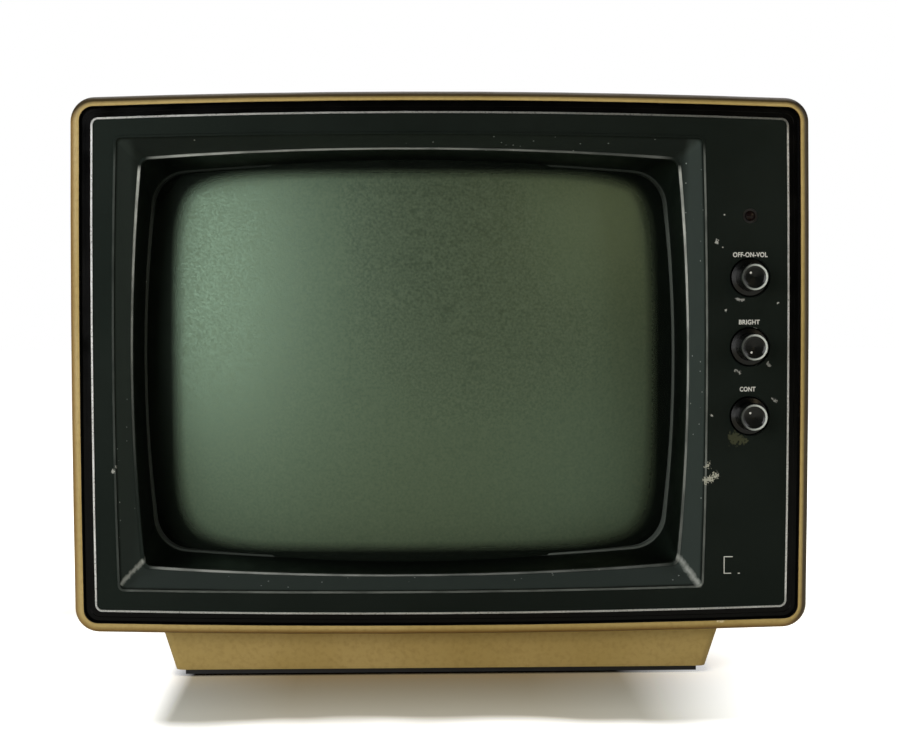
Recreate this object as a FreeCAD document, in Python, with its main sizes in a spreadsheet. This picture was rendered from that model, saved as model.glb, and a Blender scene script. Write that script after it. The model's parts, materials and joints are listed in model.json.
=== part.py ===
# A twelve inch character display: the monitor of a vintage computer terminal.
# Lengths are in millimetres. +X is the viewer's right, -Y faces the viewer, +Z is up.
# The origin is the middle of the object's box, on the surface that it stands on.
# A "depth" is counted from the front rim of the cabinet towards the back.
import FreeCAD, Part
import math
import os
import Sketcher

from FreeCAD import Placement, Rotation, Vector

DRIVING = {
    # cabinet
    "case_width": 351.0,
    "case_height": 258.1,
    "case_bottom": 22.1,
    "crown_top": 3.3,
    "crown_bottom": 2.4,
    "crown_side": 0.9,
    "case_corner": 11.5,
    "wall": 2.8,
    "rim_plane": -146.5,
    "rim_width": 4.3,
    "rim_corner": 6.8,
    "rim_round": 3.4,
    "front_depth": 92.0,
    "straight_depth": 150.0,
    "back_depth": 291.5,
    "back_width": 272.0,
    "back_top": 224.0,
    "lap": 6.0,
    # black front
    "surround_depth": 0.9,
    "band_depth": 3.3,
    "band_step": 0.22,
    "bead_width": 1.1,
    "bead_height": 0.4,
    "panel_depth": 4.0,
    "panel_sheet": 2.6,
    "trim_inset": 9.2,
    "trim_width": 0.85,
    "trim_corner": 3.2,
    # picture opening
    "tube_x": -14.6,
    "tube_z": 151.3,
    "recess_width": 281.8,
    "recess_height": 217.8,
    "recess_corner": 2.2,
    "ridge_depth": 17.0,
    "ridge_width": 268.6,
    "ridge_height": 206.4,
    "ridge_corner": 4.5,
    "lip_depth": 42.0,
    "window_width": 261.0,
    "window_height": 196.0,
    "window_corner": 17.0,
    # picture tube
    "face_depth": 31.0,
    "face_curve": 600.0,
    "bulb_width": 277.0,
    "bulb_height": 215.0,
    "bulb_corner": 26.0,
    "bulb_seal": 74.0,
    "glass": 5.0,
    "ear_depth": 55.0,
    "neck_depth": 176.0,
    "neck_end": 258.0,
    "neck_radius": 10.2,
    # control column
    "control_x": 147.4,
    "volume_z": 192.1,
    "knob_pitch": 33.2,
    "lamp_z": 221.4,
    "lamp_hole": 3.6,
    "lamp_radius": 2.5,
    "well_radius": 9.75,
    "well_depth": 3.5,
    "knob_front": -8.5,
    "knob_skirt": 9.2,
    "knob_grip": 6.8,
    "knob_dish": 5.6,
    "shaft_radius": 3.0,
    "bush_bore": 3.05,
    # pedestal and feet
    "pedestal_front": 13.5,
    "pedestal_back": 238.0,
    "pedestal_top_width": 271.0,
    "pedestal_foot_width": 259.0,
    "pedestal_corner": 4.2,
    "foot_gap": 2.5,
    "foot_radius": 9.0,
    "tray_top": 19.5,
    # electronics
    "speaker_depth": 58.0,
    "speaker_z": 86.0,
    "board_z": 38.4,
    "board_width": 232.0,
    "board_front": 124.0,
    "board_back": 284.0,
    "board_sheet": 1.6,
    # back panel
    "jack_radius": 4.15,
    "jack_end": 155.0,
}

doc = FreeCAD.newDocument("character_display")
sheet = doc.addObject("Spreadsheet::Sheet", "dims")
for row, (alias, number) in enumerate(DRIVING.items(), start=1):
    sheet.set(f"A{row}", alias)
    sheet.set(f"B{row}", str(number))
    sheet.setAlias(f"B{row}", alias)
doc.recompute()

subparts = []


# Small helpers

def value(expression):
    """The number that an expression on the sheet's cells stands for."""
    return float(sheet.evalExpression(str(expression)))


def at_depth(expression):
    """The Y coordinate, as an expression, of a depth behind the rim."""
    return f"dims.rim_plane + {expression}"


def bind(item, **expressions):
    for prop, expression in expressions.items():
        item.setExpression(prop, str(expression))
    return item


def place(item, x="0", y="0", z="0"):
    item.setExpression("Placement.Base.x", str(x))
    item.setExpression("Placement.Base.y", str(y))
    item.setExpression("Placement.Base.z", str(z))
    return item


def keep(item, label=None):
    """Lists an object as a sub-part, under the label that names its file."""
    if label:
        item.Label = label
    subparts.append(item)
    return item


def new_body(label):
    return keep(doc.addObject("PartDesign::Body", label))


def new_sketch(body, name, offset, role="XZ_Plane"):
    """A sketch on an origin plane. On XZ_Plane its normal points at the viewer."""
    sketch = body.newObject("Sketcher::SketchObject", name)
    plane = [each for each in body.Origin.OriginFeatures if each.Role == role][0]
    sketch.AttachmentSupport = [(plane, "")]
    sketch.MapMode = "FlatFace"
    sketch.setExpression("AttachmentOffset.Base.z", str(offset))
    return sketch


def front_sketch(body, name, depth):
    return new_sketch(body, name, f"-({at_depth(depth)})")


def add_pad(body, name, sketch, length, backwards=True):
    pad = body.newObject("PartDesign::Pad", name)
    pad.Profile = sketch
    pad.setExpression("Length", str(length))
    pad.Reversed = backwards
    return pad


def add_pocket(body, name, sketch, length):
    pocket = body.newObject("PartDesign::Pocket", name)
    pocket.Profile = sketch
    pocket.setExpression("Length", str(length))
    return pocket


def add_loft(body, name, sketches, cut=False, ruled=True):
    kind = "SubtractiveLoft" if cut else "AdditiveLoft"
    loft = body.newObject("PartDesign::" + kind, name)
    loft.Profile = sketches[0]
    loft.Sections = sketches[1:]
    loft.Ruled = ruled
    return loft


def add_row(body, name, feature, direction, length, count):
    row = body.newObject("PartDesign::LinearPattern", name)
    row.Originals = [feature]
    row.Direction = direction
    row.setExpression("Length", str(length))
    row.Occurrences = count
    body.Tip = row
    return row


def round_edges(body, name, base, edges, radius):
    doc.recompute()
    feature = body.newObject("PartDesign::Fillet", name)
    feature.Base = (base, edges)
    feature.setExpression("Radius", str(radius))
    return feature


def edges_where(feature, test):
    """Names of a feature's edges whose bounding box passes a test."""
    doc.recompute()
    edges = feature.Shape.Edges
    return [f"Edge{i}" for i, edge in enumerate(edges, start=1) if test(edge.BoundBox)]


def add_circle(sketch, x, y, radius):
    circle = Part.Circle(Vector(value(x), value(y), 0), Vector(0, 0, 1), value(radius))
    index = sketch.addGeometry(circle, False)
    for kind, expression in (("DistanceX", x), ("DistanceY", y)):
        number = sketch.addConstraint(Sketcher.Constraint(kind, -1, 1, index, 3, value(expression)))
        sketch.setExpression(f"Constraints[{number}]", str(expression))
    number = sketch.addConstraint(Sketcher.Constraint("Radius", index, value(radius)))
    sketch.setExpression(f"Constraints[{number}]", str(radius))


def add_polygon(sketch, points):
    """A closed outline of straight lines through corners given as expression pairs."""
    spots = [Vector(value(x), value(y), 0) for x, y in points]
    first = len(sketch.Geometry)
    total = len(spots)
    for i in range(total):
        sketch.addGeometry(Part.LineSegment(spots[i], spots[(i + 1) % total]), False)
    for i in range(total):
        following = first + (i + 1) % total
        sketch.addConstraint(Sketcher.Constraint("Coincident", first + i, 2, following, 1))
    for i, (x, y) in enumerate(points):
        for kind, expression in (("DistanceX", x), ("DistanceY", y)):
            corner = Sketcher.Constraint(kind, -1, 1, first + i, 1, value(expression))
            number = sketch.addConstraint(corner)
            sketch.setExpression(f"Constraints[{number}]", str(expression))


def add_rectangle(sketch, x_low, x_high, y_low, y_high):
    add_polygon(sketch, [(x_low, y_low), (x_high, y_low), (x_high, y_high), (x_low, y_high)])


def bowed_edges(left, right, bottom, top, bows, corner):
    """A rectangle whose four sides are long arcs, with round corners, in a sketch's plane.

    The numbers are the sides' places at their middles. bows are how far the ends of the
    left and right, bottom and top sides fall back from their middles.
    """
    side_bow, bottom_bow, top_bow = bows
    middle = Vector((left + right) / 2, (bottom + top) / 2, 0)
    half_width = (right - left) / 2
    half_height = (top - bottom) / 2
    side_radius = (half_height ** 2 + side_bow ** 2) / (2 * side_bow)
    bottom_radius = (half_width ** 2 + bottom_bow ** 2) / (2 * bottom_bow)
    top_radius = (half_width ** 2 + top_bow ** 2) / (2 * top_bow)
    ring = [
        (Vector(right - side_radius, middle.y, 0), side_radius),
        (Vector(middle.x, top - top_radius, 0), top_radius),
        (Vector(left + side_radius, middle.y, 0), side_radius),
        (Vector(middle.x, bottom + bottom_radius, 0), bottom_radius),
    ]
    signs = [(1, 1), (-1, 1), (-1, -1), (1, -1)]
    corners = []
    for i, (sign_x, sign_y) in enumerate(signs):
        centre_a, radius_a = ring[i]
        centre_b, radius_b = ring[(i + 1) % 4]
        corners.append(corner_centre(centre_a, radius_a - corner, centre_b, radius_b - corner,
                                     middle, sign_x, sign_y))
    arcs = []
    for i in range(4):
        centre, radius = ring[i]
        start = touch_point(centre, radius, corners[i - 1])
        end = touch_point(centre, radius, corners[i])
        half_way = centre + ((start + end) / 2 - centre).normalize() * radius
        arcs.append(Part.Arc(start, half_way, end))
        next_centre, next_radius = ring[(i + 1) % 4]
        leave = touch_point(next_centre, next_radius, corners[i])
        outwards = ((end + leave) / 2 - corners[i]).normalize()
        arcs.append(Part.Arc(end, corners[i] + outwards * corner, leave))
    return arcs


def corner_centre(centre_a, reach_a, centre_b, reach_b, middle, sign_x, sign_y):
    """Where two circles cross, on the side of the middle that the signs give."""
    between = centre_b - centre_a
    gap = between.Length
    along = (gap ** 2 + reach_a ** 2 - reach_b ** 2) / (2 * gap)
    across = math.sqrt(reach_a ** 2 - along ** 2)
    unit = between / gap
    normal = Vector(-unit.y, unit.x, 0)
    for side in (1, -1):
        point = centre_a + unit * along + normal * (across * side)
        if (point.x - middle.x) * sign_x > 0 and (point.y - middle.y) * sign_y > 0:
            return point
    raise ValueError("the sides don't meet")


def touch_point(centre, radius, inner):
    return centre + (inner - centre).normalize() * radius


def add_case_outline(sketch, inset, corner, drop="0"):
    """The cabinet's crowned outline, moved inwards by an inset. drop lowers its top."""
    step = value(inset)
    left = -value("dims.case_width") / 2 + step
    bottom = value("dims.case_bottom") + step
    top = value(f"dims.case_bottom + dims.case_height - ({drop})") - step
    bows = [value(f"dims.crown_{side}") for side in ("side", "bottom", "top")]
    for arc in bowed_edges(left, -left, bottom, top, bows, value(corner)):
        sketch.addGeometry(arc, False)


def add_tube_outline(sketch, width, height, corner, bow):
    """An outline centred on the picture tube's axis, with the same bow on all sides."""
    x = value("dims.tube_x")
    z = value("dims.tube_z")
    half_width = value(width) / 2
    half_height = value(height) / 2
    bows = [bow, bow, bow]
    edges = bowed_edges(x - half_width, x + half_width, z - half_height, z + half_height,
                        bows, value(corner))
    for arc in edges:
        sketch.addGeometry(arc, False)


def box(name, x, y, z, length, width, height):
    """A Part box whose sizes and low corner are expressions."""
    item = doc.addObject("Part::Box", name)
    bind(item, Length=length, Width=width, Height=height)
    return place(item, x, y, z)


AXES = {
    "x": Rotation(Vector(0, 1, 0), 90),
    "y": Rotation(Vector(1, 0, 0), -90),
    "z": Rotation(),
}


def cylinder(name, x, y, z, radius, height, axis="y"):
    """A Part cylinder that starts at a point and runs along +X, +Y or +Z."""
    item = doc.addObject("Part::Cylinder", name)
    bind(item, Radius=radius, Height=height)
    item.Placement = Placement(Vector(), AXES[axis])
    return place(item, x, y, z)


def cut(label, base, tools):
    """A Part cut of one object by several, or by one."""
    item = doc.addObject("Part::Cut", label)
    item.Base = base
    item.Tool = tools[0] if len(tools) == 1 else fuse(label + "_tools", tools)
    return item


def fuse(label, shapes):
    item = doc.addObject("Part::MultiFuse", label)
    item.Shapes = shapes
    return item


def compound(label, members):
    """Separate solids that share one sub-part."""
    item = doc.addObject("Part::Compound", label)
    item.Links = members
    return keep(item)


def copies(label, shape, spots):
    """The same solid at several places, as one sub-part of separate solids."""
    return joined(label, [shape.translated(spot) for spot in spots])


def joined(label, solids):
    """Separate solids as one sub-part."""
    item = doc.addObject("Part::Feature", label)
    item.Shape = Part.makeCompound(solids)
    return keep(item)


def spun(profile, axis_at, axis_along):
    """A solid of revolution from (distance from the axis, distance along it) corners."""
    points = [Vector(r, 0, h) for r, h in profile]
    face = Part.Face(Part.makePolygon(points + points[:1]))
    solid = face.revolve(Vector(), Vector(0, 0, 1), 360)
    turn = Rotation(Vector(0, 0, 1), axis_along)
    return solid.transformed(Placement(axis_at, turn).toMatrix(), copy=True)


def turned(label, profile, axis_at, axis_along=Vector(0, 1, 0)):
    """A turned piece of its own: corners are (distance from the axis, distance along it)."""
    item = doc.addObject("Part::Feature", label)
    item.Shape = spun(profile, axis_at, axis_along)
    return keep(item)


def screw(head_radius, head_height, shank_radius, length, at, along):
    """A pan head screw whose shank runs from the head's seat along a direction."""
    crown = head_height * 0.55
    profile = [(0, -head_height), (head_radius * 0.6, -head_height), (head_radius, -crown),
               (head_radius, 0), (shank_radius, 0), (shank_radius, length), (0, length)]
    return spun(profile, at, along)


def lead(label, points, radius):
    """A round lead whose straight runs are joined by tangent arcs."""
    edges = []
    start = points[0]
    for i in range(1, len(points) - 1):
        back = (points[i - 1] - points[i]).normalize()
        ahead = (points[i + 1] - points[i]).normalize()
        shorter = min((points[i - 1] - points[i]).Length, (points[i + 1] - points[i]).Length)
        reach = 0.45 * shorter
        turn = math.pi - back.getAngle(ahead)
        bend = reach / math.tan(turn / 2)
        enter = points[i] + back * reach
        leave = points[i] + ahead * reach
        inside = (back + ahead).normalize() * (bend / math.cos(turn / 2) - bend)
        edges.append(Part.LineSegment(start, enter).toShape())
        edges.append(Part.Arc(enter, points[i] + inside, leave).toShape())
        start = leave
    edges.append(Part.LineSegment(start, points[-1]).toShape())
    spine = Part.Wire(edges)
    ring = Part.Wire(Part.makeCircle(radius, points[0], points[1] - points[0]))
    item = doc.addObject("Part::Feature", label)
    item.Shape = spine.makePipeShell([ring], True, False)
    return keep(item)


# The cabinet

def build_front_cabinet():
    """The tan front moulding: a deep crowned frame with a rounded rim."""
    body = new_body("front_cabinet")
    outline = front_sketch(body, "cabinet_outline", "0")
    add_case_outline(outline, "0", "dims.case_corner")
    block = add_pad(body, "cabinet_block", outline, "dims.front_depth")
    rim = value("dims.rim_plane")
    front_edges = edges_where(block, lambda bound: abs(bound.YMax - rim) < 0.01)
    round_edges(body, "cabinet_rim_round", block, front_edges, "dims.rim_round")
    mouth = front_sketch(body, "cabinet_mouth", "0")
    add_case_outline(mouth, "dims.rim_width", "dims.rim_corner")
    add_pocket(body, "cabinet_mouth_cut", mouth, "dims.front_depth + 1")
    hollow = front_sketch(body, "cabinet_hollow", "12")
    add_case_outline(hollow, "dims.wall", "dims.case_corner - dims.wall")
    add_pocket(body, "cabinet_hollow_cut", hollow, "dims.front_depth")
    grille = new_sketch(body, "speaker_slots", "dims.case_width / 2 - 8", "YZ_Plane")
    pitch = 4.4
    for step in range(-4, 5):
        half = math.sqrt(19 ** 2 - (step * pitch) ** 2)
        middle = f"({at_depth('dims.speaker_depth')} + {step * pitch})"
        add_rectangle(grille, f"{middle} - 1.1", f"{middle} + 1.1",
                      f"dims.speaker_z - {half:.2f}", f"dims.speaker_z + {half:.2f}")
    slots = add_pocket(body, "speaker_grille", grille, "12")
    slots.Reversed = True
    holes = new_sketch(body, "cabinet_screw_holes", "40", "XY_Plane")
    for x, y in pedestal_screw_spots():
        add_circle(holes, x, y, "2")
    add_pocket(body, "cabinet_screw_cut", holes, "30")
    return body


def build_rear_cover():
    """The tan rear moulding: it narrows to the back, with louvres and a panel recess."""
    body = new_body("rear_cover")
    sections = rear_sections(body, "cover_skin", "0")
    add_loft(body, "cover_block", sections)
    add_loft(body, "cover_hollow", rear_sections(body, "cover_inside", "dims.wall"), cut=True)
    tongue = front_sketch(body, "cover_tongue", "dims.front_depth - dims.lap")
    add_case_outline(tongue, "dims.wall + 0.15", "dims.case_corner - dims.wall")
    add_case_outline(tongue, "dims.wall + 2.6", "dims.case_corner - dims.wall - 2.4")
    add_pad(body, "cover_tongue_ring", tongue, "dims.lap + 8")
    louvres = new_sketch(body, "top_louvre", "dims.case_bottom + dims.case_height", "XY_Plane")
    add_rectangle(louvres, "-98.4", "-95.2", at_depth(176), at_depth(252))
    top_cut = add_pocket(body, "top_louvre_cut", louvres, "76")
    x_axis = [each for each in body.Origin.OriginFeatures if each.Role == "X_Axis"][0]
    add_row(body, "top_louvres", top_cut, (x_axis, [""]), "193.6", 23)
    vents = new_sketch(body, "back_vent", "-(dims.rim_plane + dims.back_depth - 10)")
    add_rectangle(vents, "-96", "-34", "120", "123.2")
    add_rectangle(vents, "34", "96", "120", "123.2")
    back_cut = add_pocket(body, "back_vent_cut", vents, "20")
    z_axis = [each for each in body.Origin.OriginFeatures if each.Role == "Z_Axis"][0]
    add_row(body, "back_vents", back_cut, (z_axis, [""]), "77", 12)
    side = new_sketch(body, "side_vent", "0", "YZ_Plane")
    add_rectangle(side, at_depth(186), at_depth(189.2), "58", "112")
    side_cut = add_pocket(body, "side_vent_cut", side, "400")
    side_cut.Midplane = True
    y_axis = [each for each in body.Origin.OriginFeatures if each.Role == "Y_Axis"][0]
    add_row(body, "side_vents", side_cut, (y_axis, [""]), "63", 10)
    window = new_sketch(body, "panel_window", "-(dims.rim_plane + dims.back_depth - 10)")
    add_rectangle(window, "-36", "116", "44", "88")
    add_pocket(body, "panel_window_cut", window, "20")
    holes = new_sketch(body, "cover_screw_holes", "-(dims.rim_plane + dims.back_depth - 10)")
    for x, z in COVER_SCREWS:
        add_circle(holes, x, z, "2.1")
    add_pocket(body, "cover_screw_cut", holes, "20")
    return body


COVER_SCREWS = [("-118", "44"), ("122", "100"), ("-112", "208"), ("112", "208")]


def rear_sections(body, name, inset):
    """Three outlines of the rear cover, from the joint to the back."""
    skin = inset == "0"
    joint = front_sketch(body, name + "_joint", "dims.front_depth + 0.4")
    add_case_outline(joint, f"0.35 + {inset}", f"dims.case_corner - {inset}")
    waist = front_sketch(body, name + "_waist", "dims.straight_depth")
    add_case_outline(waist, f"1.6 + {inset}", f"dims.case_corner + 3 - {inset}", "1")
    back = front_sketch(body, name + "_back", f"dims.back_depth - {inset}")
    half = value(f"dims.back_width / 2 - {inset}")
    bottom = value(f"dims.case_bottom + 2.2 + {inset}")
    top = value(f"dims.back_top - {inset}")
    bows = (0.9, 2.2, 2.6)
    for arc in bowed_edges(-half, half, bottom, top, bows, 16.0 if skin else 13.0):
        back.addGeometry(arc, False)
    return [joint, waist, back]


def build_pedestal():
    """The tan base: a tapered tray that follows the cabinet's crowned underside."""
    body = new_body("pedestal")
    foot = pedestal_sketch(body, "pedestal_foot", "dims.foot_gap", "0")
    top = pedestal_sketch(body, "pedestal_top", "27", "0")
    add_loft(body, "pedestal_block", [foot, top])
    inner_foot = pedestal_sketch(body, "pedestal_inner_foot", "dims.foot_gap - 1", "3")
    inner_top = pedestal_sketch(body, "pedestal_inner_top", "dims.tray_top", "3")
    add_loft(body, "pedestal_hollow", [inner_foot, inner_top], cut=True)
    pillars = new_sketch(body, "foot_pillars", "dims.foot_gap", "XY_Plane")
    for x, y in foot_spots():
        add_circle(pillars, x, y, "dims.foot_radius + 3")
    add_pad(body, "foot_pillar_pads", pillars, "18", backwards=False)
    ribs = new_sketch(body, "tray_ribs", "dims.foot_gap + 3", "XY_Plane")
    for x in (-60, 0, 60):
        add_rectangle(ribs, f"{x} - 1.2", f"{x} + 1.2", at_depth(18), at_depth(234))
    add_pad(body, "tray_rib_pads", ribs, "15", backwards=False)
    seats = new_sketch(body, "foot_seats", "dims.foot_gap + 1.5", "XY_Plane")
    for x, y in foot_spots():
        add_circle(seats, x, y, "dims.foot_radius")
    add_pocket(body, "foot_seat_cut", seats, "5")
    holes = new_sketch(body, "pedestal_screw_holes", "40", "XY_Plane")
    for x, y in pedestal_screw_spots():
        add_circle(holes, x, y, "2.1")
    add_pocket(body, "pedestal_screw_cut", holes, "30")
    saddle = front_sketch(body, "pedestal_saddle", "-20")
    add_case_outline(saddle, "0", "dims.case_corner")
    add_pocket(body, "pedestal_saddle_cut", saddle, "400")
    return body


def pedestal_sketch(body, name, height, inset):
    """The pedestal's plan at one height: it narrows towards the table."""
    sketch = new_sketch(body, name, height, "XY_Plane")
    share = f"(({height}) - dims.foot_gap) / 22"
    spread = f"(dims.pedestal_top_width - dims.pedestal_foot_width) / 2 * {share}"
    half = value(f"dims.pedestal_foot_width / 2 + {spread} - {inset}")
    front = value(f"dims.rim_plane + dims.pedestal_front + 5 - {spread} + {inset}")
    back = value(f"dims.rim_plane + dims.pedestal_back - 5 + {spread} - {inset}")
    corner = value(f"dims.pedestal_corner - {inset}")
    for arc in bowed_edges(-half, half, front, back, (0.3, 0.3, 0.3), corner):
        sketch.addGeometry(arc, False)
    return sketch


def foot_spots():
    x = "(dims.pedestal_foot_width / 2 - 24)"
    front = at_depth("dims.pedestal_front + 26")
    back = at_depth("dims.pedestal_back - 26")
    return [(f"-{x}", front), (x, front), (f"-{x}", back), (x, back)]


def pedestal_screw_spots():
    return [(x, at_depth(depth)) for x in ("-84", "84") for depth in (50, 76)]


def build_base_plate():
    """A dark sheet under the pedestal, set in from its edge, that the feet pass through."""
    front = "dims.rim_plane + dims.pedestal_front + 6.2"
    sheet_solid = box("base_sheet", "5 - dims.pedestal_foot_width / 2", front, "0.3",
                      "dims.pedestal_foot_width - 10",
                      "dims.pedestal_back - dims.pedestal_front - 16.2", "dims.foot_gap - 0.32")
    holes = []
    for i, (x, y) in enumerate(foot_spots()):
        holes.append(cylinder(f"base_hole_{i}", x, y, "0", "dims.foot_radius + 0.4", "4", "z"))
    keep(cut("base_plate", sheet_solid, holes))


def build_feet():
    height = value("dims.foot_gap + 1.5")
    radius = value("dims.foot_radius")
    profile = [(0, 0.6), (4, 0.6), (4, 0), (radius - 1.2, 0), (radius - 0.4, 1.2),
               (radius - 0.05, height), (0, height)]
    foot = spun(profile, Vector(), Vector(0, 0, 1))
    spots = [Vector(value(x), value(y), 0) for x, y in foot_spots()]
    return copies("rubber_feet", foot, spots)


# The black front

def build_surround():
    """The glossy frame: a steep wall behind the rim, then two flat bands with a low step."""
    body = new_body("gloss_surround")
    outline = front_sketch(body, "surround_outline", "dims.surround_depth")
    add_case_outline(outline, "dims.rim_width + 0.05", "dims.rim_corner")
    add_pad(body, "surround_block", outline, "9.1")
    sink_surround(body, "surround_wall", "dims.surround_depth", "dims.band_depth", "0.3", "0.6")
    sink_surround(body, "surround_step", "dims.band_depth", "dims.band_depth + dims.band_step",
                  "2.5", "dims.band_step")
    seat = front_sketch(body, "surround_seat", "dims.panel_depth - 1")
    add_case_outline(seat, "dims.trim_inset", "dims.trim_corner + 0.3")
    add_pocket(body, "surround_seat_cut", seat, "dims.panel_sheet + 1")
    opening = front_sketch(body, "surround_opening", "dims.panel_depth - 1")
    add_case_outline(opening, "dims.trim_inset + 2.2", "3")
    add_pocket(body, "surround_opening_cut", opening, "20")
    return body


def sink_surround(body, name, start, end, inset, slope):
    """Lowers all that lies more than an inset behind the rim, with a sloping edge."""
    front = front_sketch(body, name + "_front", f"{start} - 0.001")
    add_case_outline(front, f"dims.rim_width + {inset}", f"dims.rim_corner - 0.7 * {inset}")
    back = front_sketch(body, name + "_back", end)
    add_case_outline(back, f"dims.rim_width + {inset} + {slope}",
                     f"dims.rim_corner - 0.7 * ({inset} + {slope})")
    add_loft(body, name, [front, back], cut=True)


def build_trim_line():
    """The thin bright strip between the glossy frame and the matt panel."""
    body = new_body("trim_line")
    ring = front_sketch(body, "trim_ring", "dims.panel_depth - 0.6")
    add_case_outline(ring, "dims.trim_inset + 0.02", "dims.trim_corner + 0.3")
    add_case_outline(ring, "dims.trim_inset + dims.trim_width", "dims.trim_corner - 0.5")
    add_pad(body, "trim_strip", ring, "dims.panel_sheet + 0.6")
    return body


def build_bezel():
    """The matt black moulding: flat panel, mitred recess, bowed ridge and tube window."""
    body = new_body("front_bezel")
    outline = front_sketch(body, "bezel_outline", "dims.panel_depth")
    add_case_outline(outline, "dims.trim_inset + dims.trim_width + 0.02", "dims.trim_corner - 0.5")
    add_pad(body, "bezel_panel", outline, "dims.panel_sheet")
    skin = bezel_sections(body, "bezel_skin", 2.2)
    add_loft(body, "bezel_tub", skin[:2])
    add_loft(body, "bezel_collar", skin[1:])
    throat = window_sketch(body, "throat_outline", "dims.lip_depth", 3)
    add_pad(body, "bezel_throat", throat, "14")
    bead = front_sketch(body, "recess_bead", "dims.panel_depth - dims.bead_height")
    add_tube_outline(bead, "dims.recess_width + 2 * dims.bead_width",
                     "dims.recess_height + 2 * dims.bead_width",
                     "dims.recess_corner + dims.bead_width", 1.9)
    bead_pad = add_pad(body, "bezel_bead", bead, "dims.bead_height + 0.5")
    bead_front = value(at_depth("dims.panel_depth - dims.bead_height"))
    bead_edges = edges_where(bead_pad, lambda bound: abs(bound.YMax - bead_front) < 0.01)
    round_edges(body, "bezel_bead_round", bead_pad, bead_edges, "0.25")
    bosses = front_sketch(body, "tube_bosses", "dims.panel_depth + 1")
    for x, z in tube_screw_spots():
        add_circle(bosses, x, z, "4.5")
    add_pad(body, "tube_boss_posts", bosses, "dims.ear_depth - dims.panel_depth - 1")
    clear = bezel_sections(body, "bezel_clear", 0)
    add_loft(body, "bezel_recess", clear[:2], cut=True)
    add_loft(body, "bezel_window", clear[1:], cut=True)
    mouth = front_sketch(body, "recess_mouth", "dims.panel_depth - 1")
    add_tube_outline(mouth, "dims.recess_width", "dims.recess_height", "dims.recess_corner", 1.9)
    add_pocket(body, "recess_mouth_cut", mouth, "1")
    light = window_sketch(body, "window_outline", "dims.lip_depth - 1", 0)
    add_pocket(body, "window_cut", light, "18")
    add_ridge_bead(body)
    ball = body.newObject("PartDesign::SubtractiveSphere", "glass_clearance")
    bind(ball, Radius="dims.face_curve")
    ball.Placement = Placement(glass_centre(0.8), Rotation())
    cut_bezel_details(body)
    return body


def glass_centre(gap):
    """The centre of the ball whose front is the tube's face, moved forward by a gap."""
    y = value("dims.rim_plane + dims.face_depth + dims.face_curve") - gap
    return Vector(value("dims.tube_x"), y, value("dims.tube_z"))


def bezel_sections(body, name, grow):
    """The recess in three outlines: panel edge, ridge and tube window, grown outwards."""
    edge = front_sketch(body, name + "_edge", "dims.panel_depth" if not grow else "dims.panel_depth + 1")
    add_tube_outline(edge, f"dims.recess_width + {2 * grow}", f"dims.recess_height + {2 * grow}",
                     f"dims.recess_corner + {grow}", 1.9)
    ridge = front_sketch(body, name + "_ridge", f"dims.ridge_depth + {grow * 0.6}")
    add_tube_outline(ridge, f"dims.ridge_width + {2 * grow}", f"dims.ridge_height + {2 * grow}",
                     f"dims.ridge_corner + {grow}", 5.4)
    window = window_sketch(body, name + "_window", f"dims.lip_depth + {grow}", grow + 0.8)
    return [edge, ridge, window]


def add_ridge_bead(body):
    """A rounded bead along the ridge, which catches the light as a thin line."""
    bead = front_sketch(body, "ridge_bead", "dims.ridge_depth - 0.9")
    for grow in (-0.8, 1.4):
        add_tube_outline(bead, f"dims.ridge_width + {2 * grow}", f"dims.ridge_height + {2 * grow}",
                         f"dims.ridge_corner + {grow}", 5.4)
    pad = add_pad(body, "ridge_bead_pad", bead, "2.4")
    front = value(at_depth("dims.ridge_depth - 0.9"))
    inner = value("dims.ridge_width / 2 - 0.8")
    edges = edges_where(pad, lambda bound: abs(bound.YMin - front) < 0.01
                        and abs(bound.YMax - front) < 0.01
                        and max(bound.XMax - value("dims.tube_x"),
                                value("dims.tube_x") - bound.XMin) < inner + 0.05)
    round_edges(body, "ridge_bead_round", pad, edges, "0.55")


def window_sketch(body, name, depth, grow):
    """The outline of the opening in front of the glass, grown outwards."""
    sketch = front_sketch(body, name, depth)
    add_tube_outline(sketch, f"dims.window_width + {2 * grow}", f"dims.window_height + {2 * grow}",
                     f"dims.window_corner + {grow}", 6.5)
    return sketch


def knob_heights():
    return ["dims.volume_z", "dims.volume_z - dims.knob_pitch", "dims.volume_z - 2 * dims.knob_pitch"]


def tube_screw_spots():
    return [(f"dims.tube_x + {sx} * (dims.bulb_width / 2 + 4)",
             f"dims.tube_z + {sz} * (dims.bulb_height / 2 + 2.5)") for sx in (-1, 1) for sz in (-1, 1)]


def cut_bezel_details(body):
    """The three knob wells with their floors, the shaft holes and the lamp's hole."""
    cups = front_sketch(body, "well_cups", "dims.panel_depth + 1")
    for z in knob_heights():
        add_circle(cups, "dims.control_x", z, "dims.well_radius + 2")
    add_pad(body, "well_cup_pads", cups, "dims.well_depth + 1")
    wells = front_sketch(body, "wells", "dims.panel_depth")
    for z in knob_heights():
        add_circle(wells, "dims.control_x", z, "dims.well_radius")
    add_pocket(body, "well_cut", wells, "dims.well_depth")
    holes = front_sketch(body, "shaft_holes", "dims.panel_depth")
    for z in knob_heights():
        add_circle(holes, "dims.control_x", z, "4.2")
    add_circle(holes, "dims.control_x", "dims.lamp_z", "dims.lamp_hole")
    add_pocket(body, "shaft_hole_cut", holes, "14")
    screws = front_sketch(body, "boss_holes", "dims.ear_depth - 14")
    for x, z in tube_screw_spots():
        add_circle(screws, x, z, "1.9")
    add_pocket(body, "boss_hole_cut", screws, "30")


# Knobs, lamp and controls

KNOBS = ["volume", "brightness", "contrast"]


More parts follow.
